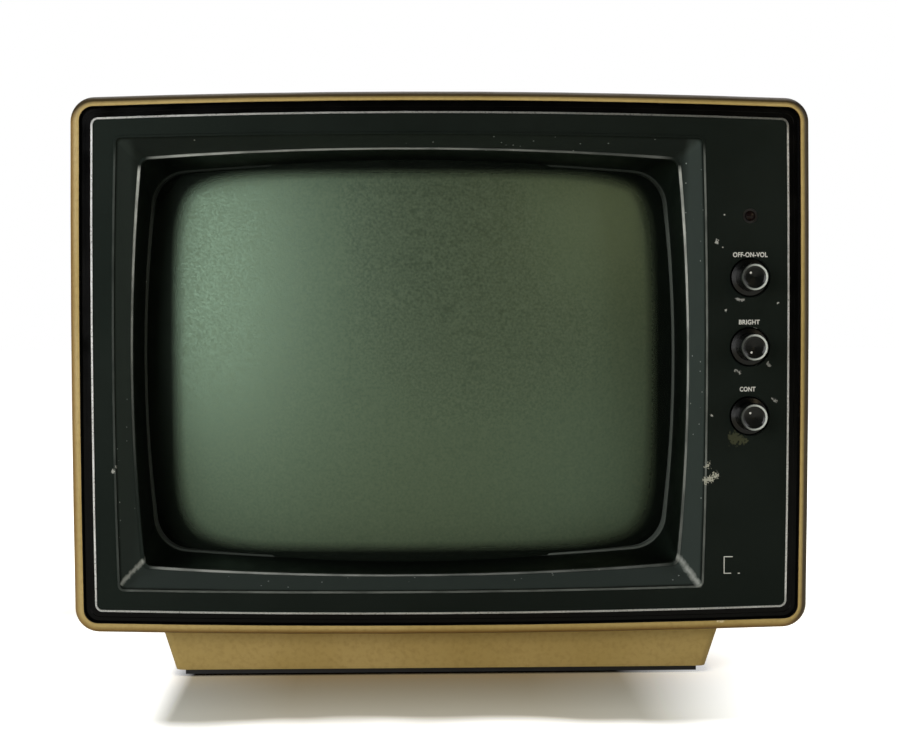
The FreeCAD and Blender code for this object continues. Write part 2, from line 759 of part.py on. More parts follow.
def build_knob(name, z):
    """A turned knob: skirt, tapered grip, rounded edge and dished front."""
    body = new_body(name + "_knob")
    sketch = new_sketch(body, name + "_knob_profile", z, "XY_Plane")
    x = "dims.control_x"
    front = at_depth("dims.knob_front")
    seat = at_depth("dims.panel_depth + dims.well_depth - 1")
    add_polygon(sketch, [
        (x, f"{front} + 1.1"),
        (f"{x} + dims.knob_dish - 1.2", f"{front} + 0.7"),
        (f"{x} + dims.knob_dish", front),
        (f"{x} + dims.knob_dish + 0.5", front),
        (f"{x} + dims.knob_grip - 0.35", f"{front} + 0.6"),
        (f"{x} + dims.knob_grip", f"{seat} - 2.2"),
        (f"{x} + dims.knob_skirt - 0.5", f"{seat} - 1.6"),
        (f"{x} + dims.knob_skirt", f"{seat} - 1.1"),
        (f"{x} + dims.knob_skirt", seat),
        (f"{x} + dims.shaft_radius", seat),
        (f"{x} + dims.shaft_radius", f"{front} + 4"),
        (x, f"{front} + 4"),
    ])
    turn = body.newObject("PartDesign::Revolution", name + "_knob_turned")
    turn.Profile = sketch
    turn.Angle = 360
    closing_line = len(sketch.Geometry) - 1
    turn.ReferenceAxis = (sketch, [f"Edge{closing_line + 1}"])
    return body


def build_shaft(name, z):
    """A pot's shaft, from inside the knob to inside the pot."""
    start = at_depth("dims.knob_front + 4")
    reach = "14.5 - (dims.knob_front + 4)"
    rod = cylinder(name + "_rod", "dims.control_x", start, z, "dims.shaft_radius", reach)
    flat = box(name + "_flat", "dims.control_x - 4", start, f"{z} + 2.2", "8", "7.5", "2")
    return keep(cut(name + "_shaft", rod, [flat]))


def build_pots():
    """Three sealed pots with their bushes, held by the control board."""
    solids = []
    for z in knob_heights():
        x = value("dims.control_x")
        height = value(z)
        bore = value("dims.bush_bore")
        profile = [(bore, 8.2), (3.9, 8.2), (3.9, 12), (8.5, 12), (8.5, 20.9), (2.4, 20.9),
                   (2.4, 15), (bore, 15)]
        at = Vector(x, value("dims.rim_plane"), height)
        solids.append(spun(profile, at, Vector(0, 1, 0)))
    return joined("control_pots", solids)


def build_controls():
    for name, z in zip(KNOBS, knob_heights()):
        build_knob(name, z)
        build_shaft(name, z)
    build_pots()
    board = box("control_board", "dims.control_x - 15", at_depth(21), "dims.volume_z - 84",
                "30", "dims.board_sheet", "102")
    keep(board)
    switch = box("power_switch", "dims.control_x - 8", at_depth(22.7), "dims.volume_z - 8",
                 "16", "11", "16")
    keep(switch)
    radius = value("dims.lamp_radius")
    profile = [(0, 2.2), (radius * 0.55, 2.5), (radius * 0.9, 3.4), (radius, 4.6), (radius, 11),
               (radius + 0.4, 11), (radius + 0.4, 12), (0, 12)]
    lamp_at = Vector(value("dims.control_x"), value("dims.rim_plane"), value("dims.lamp_z"))
    turned("power_lamp", profile, lamp_at)
    hole = value("dims.lamp_hole")
    ring = [(radius + 0.02, 4.9), (hole - 0.02, 4.9), (hole - 0.02, 6.62), (hole + 1.4, 6.62),
            (hole + 1.4, 10.9), (radius + 0.02, 10.9)]
    turned("lamp_holder", ring, lamp_at)


# The picture tube

def tube_block(name, start, end, shrink):
    """A straight block with the bulb's outline, shrunk inwards, between two depths."""
    sketch = doc.addObject("Sketcher::SketchObject", name + "_outline")
    sketch.Placement = Placement(Vector(0, value(at_depth(start)), 0), Rotation(Vector(1, 0, 0), 90))
    add_tube_outline(sketch, f"dims.bulb_width - 2 * ({shrink})",
                     f"dims.bulb_height - 2 * ({shrink})", f"dims.bulb_corner - ({shrink})", 7.5)
    block = doc.addObject("Part::Extrusion", name)
    block.Base = sketch
    block.DirMode = "Custom"
    block.Dir = Vector(0, 1, 0)
    block.setExpression("LengthFwd", f"({end}) - ({start})")
    block.Solid = True
    return block


def ball(name, radius, gap):
    """A ball that is concentric with the tube's face, gap in front of it."""
    item = doc.addObject("Part::Sphere", name)
    bind(item, Radius=radius)
    item.Placement = Placement(glass_centre(gap), Rotation())
    return item


def common(label, first, second):
    item = doc.addObject("Part::MultiCommon", label)
    item.Shapes = [first, second]
    return item


def build_faceplate():
    """The domed front glass with its skirt, and the powdery screen behind it."""
    outer = common("faceplate_outer", tube_block("faceplate_block", "20", "dims.bulb_seal", "0"),
                   ball("faceplate_ball", "dims.face_curve", 0))
    inner = common("faceplate_inner",
                   tube_block("faceplate_room", "20", "dims.bulb_seal + 1", "dims.glass - 1"),
                   ball("faceplate_inner_ball", "dims.face_curve - 9", 0))
    keep(cut("tube_faceplate", outer, [inner]))
    skin = common("screen_outer",
                  tube_block("screen_block", "20", "dims.face_depth + 28", "dims.glass - 0.65"),
                  ball("screen_ball", "dims.face_curve - 9.35", 0))
    hollow = ball("screen_inner_ball", "dims.face_curve - 9.95", 0)
    keep(cut("phosphor_screen", skin, [hollow]))


def funnel_sections(body, name, shrink):
    """Sections of the funnel, from the seal's rounded oblong to the neck's circle."""
    sizes = [("dims.bulb_seal + 0.02", 271, 209, 24, 7.5), ("108", 222, 178, 60, 9.0),
             ("140", 118, 108, 50, 6.0), ("dims.neck_depth", 20.4, 20.4, 10.1, 0.1)]
    sections = []
    for i, (depth, width, height, corner, bow) in enumerate(sizes):
        sketch = front_sketch(body, f"{name}_{i}", depth)
        add_tube_outline(sketch, f"{width} - 2 * {shrink}", f"{height} - 2 * {shrink}",
                         f"{corner} - {shrink}", bow)
        sections.append(sketch)
    return sections


def build_funnel():
    """The glass of the bulb behind its face: a hollow cone that ends in the neck."""
    body = new_body("tube_funnel")
    x = "dims.tube_x"
    z = "dims.tube_z"
    add_loft(body, "funnel_outer", funnel_sections(body, "funnel_skin", 0))
    neck = front_sketch(body, "neck_ring", "dims.neck_depth - 0.5")
    add_circle(neck, x, z, "dims.neck_radius")
    add_pad(body, "neck_pad", neck, "dims.neck_end - dims.neck_depth + 0.5")
    add_loft(body, "funnel_inner", funnel_sections(body, "funnel_inside", 3), cut=True)
    bore = front_sketch(body, "neck_bore", "dims.neck_depth - 1")
    add_circle(bore, x, z, "dims.neck_radius - 3")
    add_pocket(body, "neck_bore_cut", bore, "dims.neck_end - dims.neck_depth - 3")
    return body


def build_gun_and_socket():
    """What sits in and on the neck: the gun, the pinned base, its socket and the board."""
    x = "dims.tube_x"
    z = "dims.tube_z"
    gun = [(1.2, 0), (6.5, 0), (6.5, 16), (4.2, 16), (4.2, 19), (6.5, 19), (6.5, 30), (4.2, 30),
           (4.2, 33), (6.0, 33), (6.0, 48), (1.2, 48)]
    turned("electron_gun", gun, Vector(value(x), value(at_depth("dims.neck_depth + 26")), value(z)))
    base_at = Vector(value(x), value(at_depth("dims.neck_end + 0.04")), value(z))
    turned("tube_base", [(0, 0), (9.6, 0), (9.6, 5), (4, 5), (4, 9), (0, 9)], base_at)
    socket = [(4.05, 5.1), (13, 5.1), (13, 12), (11, 14.9), (0, 14.9), (0, 9.1), (4.05, 9.1)]
    turned("tube_socket", socket, base_at)
    keep(box("socket_board", f"{x} - 30", at_depth("dims.neck_end + 15"), f"{z} - 32",
             "60", "dims.board_sheet", "58"))


def build_rim_band():
    """The steel band shrunk round the faceplate, with four corner ears."""
    outer = tube_block("band_outer", "dims.ear_depth", "dims.ear_depth + 10", "-1.2")
    inner = tube_block("band_inner", "dims.ear_depth - 1", "dims.ear_depth + 11", "-0.05")
    band = cut("band_ring", outer, [inner])
    ears = []
    holes = []
    front = at_depth("dims.ear_depth")
    for i, (x, z) in enumerate(tube_screw_spots()):
        slant = (-135, 135, -45, 45)[i]
        ear = box(f"ear_{i}", x, front, z, "22", "2", "12")
        ear.Placement = Placement(Vector(), Rotation(Vector(0, 1, 0), 180 - slant))
        shift = ear.Placement.Rotation.multVec(Vector(0, 0, -6))
        place(ear, f"{x} + {shift.x}", front, f"{z} + {shift.z}")
        tab = cylinder(f"ear_tab_{i}", x, front, z, "6", "2")
        ears += [ear, tab]
        holes.append(cylinder(f"ear_hole_{i}", x, f"{front} - 1", z, "2.3", "5"))
    holes.append(tube_block("band_bulb", "50", "70", "-0.05"))
    keep(cut("rim_band", fuse("band_with_ears", [band] + ears), holes))
    seat = value(f"{front} + 2")
    spots = [Vector(value(x), seat, value(z)) for x, z in tube_screw_spots()]
    copies("tube_screws", screw(4.4, 3.0, 1.9, 12, Vector(), Vector(0, -1, 0)), spots)


def on_tube(label, profile):
    """A turned piece on the tube's axis, from (radius, depth) corners."""
    at = Vector(value("dims.tube_x"), value("dims.rim_plane"), value("dims.tube_z"))
    item = doc.addObject("Part::Feature", label)
    item.Shape = spun(profile, at, Vector(0, 1, 0))
    return item


def build_yoke():
    """The deflection yoke: flared former, copper coils and ferrite ring."""
    neck = value("dims.neck_radius")
    former = [(56, 149), (58, 149), (58, 151), (31, 166.5), (19, 179), (neck + 4.5, 186),
              (neck + 4.5, 193), (neck + 0.05, 193), (neck + 0.05, 184), (16.5, 177.5), (29, 164.5)]
    keep(on_tube("yoke_former", former))
    coils = [(55, 153.2), (56, 154), (36, 167.6), (27, 178), (27, 181), (19.4, 181), (19.4, 179.2),
             (31.5, 166.9)]
    keep(on_tube("yoke_coils", coils))
    core = [(45, 161.7), (50, 164), (36.5, 178), (27.1, 178), (36.2, 167.7)]
    keep(on_tube("yoke_core", core))
    rings = []
    for i, start in enumerate((196.0, 198.2)):
        ring = on_tube(f"magnet_ring_{i}", [(neck + 0.1, start), (16, start),
                                                (16, start + 1.6), (neck + 0.1, start + 1.6)])
        side = 1 if i else -1
        tab = box(f"magnet_tab_{i}", f"dims.tube_x - 2.5 + {side * 6}", at_depth(start),
                  "dims.tube_z + 13", "5", "1.6", "10")
        rings.append(fuse(f"magnet_{i}", [ring, tab]))
    compound("centring_magnets", rings)


# The electronics

def on_board(extra="0"):
    return f"dims.board_z + dims.board_sheet + {extra}"


def build_chassis():
    """A folded steel tray that carries the main board on four standoffs."""
    x = "-dims.board_width / 2 - 3"
    width = "dims.board_width + 6"
    front = at_depth("dims.board_front - 3")
    length = "dims.board_back - dims.board_front + 4"
    floor = "dims.board_z - 8"
    tray = box("tray_block", x, front, floor, width, length, "9")
    room = box("tray_room", f"{x} + 1.2", f"{front} - 1", f"{floor} + 1.2", f"{width} - 2.4",
               f"{length} + 2", "12")
    vents = []
    for i in range(7):
        vents.append(box(f"tray_vent_{i}", f"{-90 + 28 * i}", f"{front} + 40", f"{floor} - 1",
                         "12", "80", "4"))
    members = [cut("tray_folded", tray, [room] + vents)]
    bores = []
    for i, spot in enumerate(board_screw_spots()):
        members.append(cylinder(f"standoff_{i}", spot.x, spot.y, floor, "4", "8", "z"))
        bores.append(cylinder(f"standoff_bore_{i}", spot.x, spot.y, f"{floor} - 1", "1.55", "12", "z"))
    keep(cut("chassis_tray", fuse("tray_with_standoffs", members), bores))
    one = screw(3, 2, 1.5, 7.2, Vector(), Vector(0, 0, -1))
    top = Vector(0, 0, value(on_board()))
    copies("board_screws", one, [spot + top for spot in board_screw_spots()])
    board = box("board_sheet_solid", "-dims.board_width / 2", at_depth("dims.board_front"),
                "dims.board_z", "dims.board_width", "dims.board_back - dims.board_front",
                "dims.board_sheet")
    holes = []
    for i, spot in enumerate(board_screw_spots()):
        holes.append(cylinder(f"board_hole_{i}", spot.x, spot.y, "dims.board_z - 1", "1.6", "4", "z"))
    keep(cut("main_board", board, holes))


def board_screw_spots():
    half = value("dims.board_width / 2 - 7")
    front = value(at_depth("dims.board_front + 7"))
    back = value(at_depth("dims.board_back - 7"))
    return [Vector(x, y, 0) for x in (-half, half) for y in (front, back)]


def build_flyback():
    """The line output transformer: potted winding on a ferrite frame."""
    base = on_board()
    y = at_depth(236)
    frame = box("flyback_frame", "-92", y, base, "44", "12", "52")
    gap = box("flyback_gap", "-82", f"{y} - 1", f"{base} + 10", "24", "14", "32")
    keep(cut("flyback_core", frame, [gap]))
    bore = box("flyback_bore", "-92.02", f"{y} - 0.02", f"{base} + 9.98", "10.04", "12.04", "32.04")
    coil = cylinder("flyback_coil", "-87", f"{y} + 6", f"{base} + 10.5", "15", "31", "z")
    keep(cut("flyback_winding", coil, [bore]))


def build_heat_sink():
    """A finned aluminium sink with the power transistors screwed to its web."""
    body = new_body("heat_sink")
    plan = new_sketch(body, "sink_plan", on_board(), "XY_Plane")
    add_rectangle(plan, "54", "102", at_depth(250), at_depth(275))
    add_pad(body, "sink_block", plan, "46", backwards=False)
    slot = new_sketch(body, "sink_slot", f"{on_board()} + 46", "XY_Plane")
    add_rectangle(slot, "56", "60", at_depth(249), at_depth(271))
    first = add_pocket(body, "sink_slot_cut", slot, "47")
    x_axis = [each for each in body.Origin.OriginFeatures if each.Role == "X_Axis"][0]
    add_row(body, "sink_fins", first, (x_axis, [""]), "40", 8)
    can = spun([(0, 0), (9, 0), (9, 6.5), (0, 6.5)], Vector(), Vector(0, 1, 0))
    back = value(at_depth(275.02))
    spots = [Vector(x, back, value(on_board("24"))) for x in (71.5, 91)]
    copies("power_transistors", can, spots)


def build_board_parts():
    base = value(on_board())
    cans = []
    for x, depth, radius, height in ((8, 262, 13, 30), (36, 262, 11, 25), (44, 150, 8, 18),
                                     (64, 150, 8, 18), (-30, 246, 6, 14), (-14, 246, 6, 14)):
        profile = [(0, 0), (radius, 0), (radius, height), (radius * 0.8, height),
                   (radius * 0.8, height - 0.6), (0, height - 0.6)]
        at = Vector(x, value(at_depth(depth)), base)
        cans.append(spun(profile, at, Vector(0, 0, 1)))
    joined("filter_capacitors", cans)
    small = []
    for i in range(9):
        at = Vector(-42 + 15 * i, value(at_depth(196 + 7 * (i % 3))), base + 2.4)
        small.append(spun([(0, -5), (1.6, -5), (2.2, -3), (2.2, 3), (1.6, 5), (0, 5)], at,
                          Vector(1, 0, 0)))
    for x, depth in ((-30, 160), (0, 160), (84, 170)):
        small.append(Part.makeBox(20, 6.6, 3.6, Vector(x, value(at_depth(depth)), base + 0.4)))
    joined("signal_components", small)
    fuse_at = Vector(108, value(at_depth(236)), base + 6)
    turned("mains_fuse", [(0, -10), (2.6, -10), (2.6, 10), (0, 10)], fuse_at)
    clips = []
    for i, shift in enumerate((-8.5, 5.5)):
        start = f"{at_depth(236)} + {shift}"
        block = box(f"clip_block_{i}", "104.5", start, base, "7", "3", "7")
        room = cylinder(f"clip_room_{i}", "108", f"{start} - 1", f"{on_board()} + 6", "2.62", "5")
        clips.append(cut(f"clip_{i}", block, [room]))
    compound("fuse_clips", clips)


def build_transformer():
    """The mains transformer: laminated core round a wound bobbin."""
    y = at_depth(152)
    z = on_board()
    outer = box("core_block", "-112", y, z, "66", "34", "54")
    left = box("core_left", "-101", f"{y} - 1", f"{z} + 10", "12", "36", "34")
    right = box("core_right", "-69", f"{y} - 1", f"{z} + 10", "12", "36", "34")
    keep(cut("transformer_core", outer, [left, right]))
    winding = box("winding_block", "-100.6", f"{y} - 9", f"{z} + 10.4", "43.2", "52", "33.2")
    leg = box("winding_leg", "-89.05", f"{y} - 0.05", f"{z} + 9", "20.1", "34.1", "36")
    keep(cut("transformer_winding", winding, [leg]))


def build_speaker():
    """A small loudspeaker on the right wall, behind its slots."""
    wall = value("dims.case_width / 2 - dims.wall - dims.crown_side - 0.3")
    at = Vector(wall, value(at_depth("dims.speaker_depth")), value("dims.speaker_z"))
    inwards = Vector(-1, 0, 0)
    frame = [(21.5, 0), (27, 0), (27, 2.5), (23, 4), (13, 13), (13, 15), (11.4, 15), (11.4, 12.4),
             (21.5, 3.2)]
    cone = [(21.3, 1.0), (21.3, 1.6), (6.4, 9.6), (6.4, 11), (5.6, 11), (5.6, 9.2)]
    magnet = [(0, 15.05), (14, 15.05), (14, 24), (0, 24)]
    joined("speaker_frame", [spun(frame, at, inwards), spun(magnet, at, inwards)])
    turned("speaker_cone", cone, at, inwards)


def build_anode():
    """The high tension connection: rubber cap on the bulb and the lead from it."""
    at = Vector(value("dims.tube_x") - 30, value(at_depth(112)), value("dims.tube_z") + 83.9)
    tilt = Vector(-0.05, 1, 1)
    turned("anode_cap", [(0, 0.4), (13, 0.4), (14, 1.4), (12, 3), (5, 6.5), (4.5, 12), (0, 12)],
           at, tilt)
    top = at + tilt.normalize() * 12.05
    board = value(on_board())
    points = [top, top + tilt * 12, top + Vector(-26, 40, 8), Vector(-98, 45, 200),
              Vector(-99, 84, 150), Vector(-86, value(at_depth(242)), 110),
              Vector(-86, value(at_depth(242)), board + 52.05)]
    lead("eht_lead", points, 2.0)


# The back panel

JACKS = (-20, 4, 28)


def build_back_panel():
    """The pressed steel panel that closes the window in the rear cover."""
    body = new_body("jack_panel")
    plate = new_sketch(body, "panel_plate", "-(dims.rim_plane + dims.back_depth - dims.wall - 1.3)")
    add_rectangle(plate, "-40", "120", "41", "91")
    for x in JACKS:
        add_circle(plate, x, "58", "3.2")
    add_circle(plate, "100", "60", "6.05")
    for x, z in PANEL_SCREWS:
        add_circle(plate, x, z, "1.6")
    for x in HOLD_X:
        add_circle(plate, x, "76", "3.4")
    add_rectangle(plate, "48", "56", "56", "60")
    add_pad(body, "panel_sheet", plate, "1.2")
    face = value("dims.rim_plane + dims.back_depth - dims.wall - 0.1")
    out = Vector(0, 1, 0)
    radius = value("dims.jack_radius")
    reach = value(f"dims.jack_end - {face}")
    jack = [(1.6, -3), (3.1, -3), (3.1, 0.01), (6, 0.01), (6, 2), (radius, 2), (radius, reach),
            (3.3, reach), (3.3, 3), (1.6, 3)]
    copies("signal_jacks", spun(jack, Vector(), out), [Vector(x, face, 58) for x in JACKS])
    pin = [(0, -6), (1.55, -6), (1.55, 3), (0, 3)]
    core = [(1.65, 3.05), (3.25, 3.05), (3.25, reach - 1), (1.65, reach - 1)]
    inserts = []
    for i, x in enumerate(JACKS):
        inserts.append(spun(core, Vector(x, face, 58), out))
        inserts.append(spun(pin, Vector(x, face, 58), out))
    joined("jack_inserts", inserts)
    build_termination_switch(face)
    build_holds(face)
    gland = [(3.6, -7), (5.2, -7), (5.2, -5), (6.0, -4), (6.0, 0.01), (8, 0.01), (8, 2.5),
             (6.4, 4), (5.6, 9.5), (3.6, 9.5)]
    turned("cord_gland", gland, Vector(100, face, 60))


PANEL_SCREWS = (("-31", "48"), ("-31", "84"), ("111", "48"), ("111", "84"))
HOLD_X = (-14, 18)
HOLDS = ("vertical_hold", "picture_height")


def build_termination_switch(face):
    """A slide switch behind the panel, whose lever shows in a slot."""
    y = f"{face} - 1.2"
    can = box("switch_can", "44", f"{y} - 8", "52", "16", "7.9", "12")
    room = box("switch_room", "47.6", f"{y} - 4", "55.6", "8.8", "5", "4.8")
    keep(cut("termination_switch", can, [room]))
    lever = box("lever_block", "48.3", f"{y} - 3.6", "56.3", "3.4", "6.6", "3.4")
    keep(lever, "termination_lever")


def build_holds(face):
    """Two set-and-leave controls with small slotted knobs."""
    out = Vector(0, 1, 0)
    body_profile = [(3.05, -12), (7, -12), (7, -1.3), (3.35, -1.3), (3.35, 0.6), (3.05, 0.6)]
    joined("hold_pots", [spun(body_profile, Vector(x, face, 76), out) for x in HOLD_X])
    knob = [(0, -11.5), (3.0, -11.5), (3.0, 1.0), (5.4, 1.0), (5.4, 6.4), (4.8, 7.2), (0, 7.2)]
    for label, x in zip(HOLDS, HOLD_X):
        blank = doc.addObject("Part::Feature", label + "_turned")
        blank.Shape = spun(knob, Vector(x, face, 76), out)
        slot = box(label + "_slot", f"{x} - 0.6", f"{face} + 5.4", "70", "1.2", "4", "12")
        keep(cut(label + "_knob", blank, [slot]))


def build_screws():
    """The rear cover's and back panel's screws are alike and share a sub-part."""
    back = value(at_depth("dims.back_depth"))
    panel = value(at_depth("dims.back_depth - dims.wall - 0.1"))
    spots = [Vector(value(x), back, value(z)) for x, z in COVER_SCREWS]
    spots += [Vector(value(x), panel, value(z)) for x, z in PANEL_SCREWS]
    copies("rear_screws", screw(3.4, 2.4, 1.6, 8, Vector(), Vector(0, -1, 0)), spots)
    spots = [Vector(value(x), value(y), value("dims.tray_top")) for x, y in pedestal_screw_spots()]
    copies("pedestal_screws", screw(4, 2.6, 2.0, 9.5, Vector(), Vector(0, 0, 1)), spots)


def build_everything():
    build_front_cabinet()
    build_rear_cover()
    build_pedestal()
    build_base_plate()
    build_feet()
    build_surround()
    build_trim_line()
    build_bezel()
    build_controls()
    build_faceplate()
    build_funnel()
    build_gun_and_socket()
    build_rim_band()
    build_yoke()
    build_chassis()
    build_flyback()
    build_heat_sink()
    build_board_parts()
    build_transformer()
    build_speaker()
    build_anode()
    build_back_panel()
    build_screws()


def check_and_write():
    """Stops on a failed feature or shape, then writes one file for each sub-part."""
    doc.recompute()
    faults = [f"{item.Label}: {item.State}" for item in doc.Objects
              if "Invalid" in item.State or "Error" in item.State]
    for item in subparts:
        shape = item.Shape
        if shape.isNull() or not shape.isValid() or not shape.Solids:
            faults.append(f"{item.Label}: the shape isn't a valid solid")
    if faults:
        raise RuntimeError("; ".join(faults))
    os.makedirs("parts", exist_ok=True)
    for item in subparts:
        shape = item.Shape
        shape.exportStep(os.path.join("parts", item.Label + ".step"))
        print(f"{item.Label}: {len(shape.Solids)} solids, {shape.Volume / 1000:.1f} cm3")


build_everything()
check_and_write()
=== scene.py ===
# %% [markdown]
# # The looks of a twelve inch character display
#
# The cabinet, tube, knobs and electronics come from the CAD model, and this lesson
# leaves their shapes alone. It gives each of them the finish of the real material,
# adds what is printed or stuck on the front, and lights the display as for a
# catalogue picture. Lengths are in metres, and the z axis points up.

import json
import math

import bpy
from mathutils import Matrix, Vector


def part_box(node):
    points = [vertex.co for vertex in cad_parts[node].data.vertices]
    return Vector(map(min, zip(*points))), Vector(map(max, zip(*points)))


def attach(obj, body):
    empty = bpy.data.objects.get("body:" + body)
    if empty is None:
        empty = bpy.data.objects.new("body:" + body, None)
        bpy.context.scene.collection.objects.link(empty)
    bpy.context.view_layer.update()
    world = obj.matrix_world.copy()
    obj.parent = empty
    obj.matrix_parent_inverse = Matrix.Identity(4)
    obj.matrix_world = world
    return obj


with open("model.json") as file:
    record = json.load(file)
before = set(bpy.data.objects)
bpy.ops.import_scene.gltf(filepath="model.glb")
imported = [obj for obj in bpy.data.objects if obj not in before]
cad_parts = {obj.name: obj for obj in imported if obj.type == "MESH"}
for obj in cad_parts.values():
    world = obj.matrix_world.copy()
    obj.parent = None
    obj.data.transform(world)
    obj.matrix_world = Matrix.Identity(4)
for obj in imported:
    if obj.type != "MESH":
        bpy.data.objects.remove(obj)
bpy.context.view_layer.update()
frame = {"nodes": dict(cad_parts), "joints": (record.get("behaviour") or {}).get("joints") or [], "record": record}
nodes = frame["nodes"]
MM = 0.001

# %% [markdown]
# ## The camera
#
# The photograph was taken from about a metre away, a little to the left of the middle
# and slightly above it. The rim's corners and the pedestal's edges fix where that is.
# A long lens keeps the sides of the cabinet out of sight, as they are in the photo.

# %% Place the camera
CAMERA_AT = Vector((-0.0244, -1.0425, 0.1809))
TURNED_RIGHT = 1.78
LOOKING_DOWN = 2.32
ROLL = 0.12
lens = bpy.data.cameras.new("photo_lens")
lens.lens = 75.7
lens.sensor_width = 36
camera = bpy.data.objects.new("photo_camera", lens)
bpy.context.scene.collection.objects.link(camera)
camera.location = CAMERA_AT
camera.rotation_euler = (math.radians(90 - LOOKING_DOWN), math.radians(ROLL), math.radians(-TURNED_RIGHT))
bpy.context.scene.camera = camera
bpy.context.scene.view_settings.view_transform = "Standard"
print("camera", [round(v, 3) for v in camera.location], "lens", lens.lens, "mm")

# %% [markdown]
# ## Light and surroundings
#
# A glossy black front shows whatever stands before it, so the lamps are placed by
# what they do in the glass. A tall soft box at the left makes the pale green veil on
# the left of the screen. A wide one overhead lights the ledges that face up. The
# world is white where the camera looks past the display, and a dim grey room in front
# of it, so that the gloss stays black.

# %% Set the lamps
def soft_box(name, at, target, width, height, watts):
    lamp = bpy.data.lights.new(name, "AREA")
    lamp.shape = "RECTANGLE"
    lamp.size = width
    lamp.size_y = height
    lamp.energy = watts
    holder = bpy.data.objects.new(name, lamp)
    bpy.context.scene.collection.objects.link(holder)
    holder.location = at
    aim = Vector(target) - Vector(at)
    holder.rotation_euler = aim.to_track_quat("-Z", "Y").to_euler()
    return holder


middle = (0, 0, 0.15)
soft_box("left_window", (-1.0, -1.2, 0.22), middle, 1.2, 1.5, 23)
soft_box("overhead_sheet", (0.1, 0.28, 1.4), middle, 1.4, 0.8, 10)
soft_box("right_fill", (1.3, -0.9, 0.5), middle, 0.5, 1.1, 5)
soft_box("back_fill", (0.5, 1.5, 1.0), middle, 1.2, 1.0, 5)
bulb = soft_box("far_bulb", (0.71, -1.40, 0.65), middle, 0.3, 0.3, 1.2)
bulb.data.color = (1.0, 0.8, 0.5)
print("5 soft boxes")

# %% One function that adds a node
def add_node(tree, kind, links=None, **settings):
    """A node with its settings. links gives each input a value or another node's output."""
    node = tree.nodes.new(kind)
    for name, setting in settings.items():
        setattr(node, name, setting)
    for name, given in (links or {}).items():
        if isinstance(given, bpy.types.NodeSocket):
            tree.links.new(given, node.inputs[name])
        else:
            node.inputs[name].default_value = given
    return node


def linear(hex_code, alpha=1.0):
    """An sRGB hex colour as the linear numbers that Blender's nodes take."""
    channels = [int(hex_code[i:i + 2], 16) / 255 for i in (0, 2, 4)]
    straight = [c / 12.92 if c <= 0.04045 else ((c + 0.055) / 1.055) ** 2.4 for c in channels]
    return (*straight, alpha)


def blend_colours(tree, share, first, second):
    mixer = add_node(tree, "ShaderNodeMix", {0: share, 6: first, 7: second}, data_type="RGBA")
    return mixer.outputs[2]


def ramp(tree, value, low, high, to_low=0.0, to_high=1.0):
    """The value stretched from low..high to to_low..to_high, and cut off beyond."""
    links = {"Value": value, "From Min": low, "From Max": high, "To Min": to_low, "To Max": to_high}
    return add_node(tree, "ShaderNodeMapRange", links).outputs[0]


def noise(tree, place, size_mm, detail=2.0):
    """Noise whose blobs are about so many millimetres across."""
    links = {"Vector": place, "Scale": 1 / (size_mm * MM), "Detail": detail}
    return add_node(tree, "ShaderNodeTexNoise", links).outputs[0]


def along(tree, place, axis):
    """One of a place's three numbers, X, Y or Z."""
    return add_node(tree, "ShaderNodeSeparateXYZ", {"Vector": place}).outputs[axis]


def product(tree, first, second):
    return add_node(tree, "ShaderNodeMath", {0: first, 1: second}, operation="MULTIPLY").outputs[0]


def choose(tree, share, first, second):
    """The first number where share is 0, the second where it is 1."""
    return add_node(tree, "ShaderNodeMix", {0: share, 2: first, 3: second}, data_type="FLOAT").outputs[0]


print("tan as linear numbers:", [round(v, 3) for v in linear("AC965F")])

# %% White behind, a dim room in front
world = bpy.data.worlds.new("studio")
bpy.context.scene.world = world
world.use_nodes = True
sky = world.node_tree
sky.nodes.clear()
path = add_node(sky, "ShaderNodeLightPath")
direction = add_node(sky, "ShaderNodeTexCoord")
split = add_node(sky, "ShaderNodeSeparateXYZ", {"Vector": direction.outputs["Generated"]})
room = add_node(sky, "ShaderNodeMapRange", {"Value": split.outputs["Y"], "From Min": -0.3, "From Max": 0.8,
                                            "To Min": 0.03, "To Max": 0.35})
seen = add_node(sky, "ShaderNodeMath", {0: path.outputs["Is Camera Ray"],
                                        1: path.outputs["Is Transmission Ray"]}, operation="MAXIMUM")
strength = choose(sky, seen.outputs[0], room.outputs[0], 1.0)
air = add_node(sky, "ShaderNodeBackground", {"Color": (1, 1, 1, 1), "Strength": strength})
add_node(sky, "ShaderNodeOutputWorld", {"Surface": air.outputs[0]})
print("world", len(sky.nodes), "nodes")

# %% [markdown]
# ## The floor
#
# The display stands on white paper. Paper lit like the object would come out pale
# grey, so a little light of its own, seen by the camera only, lifts it to white, and
# the shadow under the pedestal stays.

# %% Lay the paper
paper = bpy.data.materials.new("white_paper")
paper.use_nodes = True
sheet = paper.node_tree
sheet.nodes.clear()
path = add_node(sheet, "ShaderNodeLightPath")
spot = add_node(sheet, "ShaderNodeNewGeometry").outputs["Position"]
sideways, forward = along(sheet, spot, "X"), along(sheet, spot, "Y")
wavy = add_node(sheet, "ShaderNodeMath", {0: forward, 1: ramp(sheet, noise(sheet, spot, 90), 0.3, 0.7, -0.008, 0.008)},
                operation="ADD").outputs[0]
# The painted shadow: a region in front of the pedestal, with a wavy front edge, where the lift is taken away
between_sides = product(sheet, ramp(sheet, sideways, -0.134, -0.120), ramp(sheet, sideways, 0.155, 0.085))
painted_shadow = product(sheet, between_sides, ramp(sheet, wavy, -0.247, -0.226))
painted_shadow = product(sheet, painted_shadow, ramp(sheet, forward, -0.06, -0.10))
enclosed = add_node(sheet, "ShaderNodeAmbientOcclusion", {"Distance": 0.25}, samples=8).outputs["AO"]
behind = product(sheet, ramp(sheet, enclosed, 1.0, 0.4), ramp(sheet, forward, 0.0, 0.06))
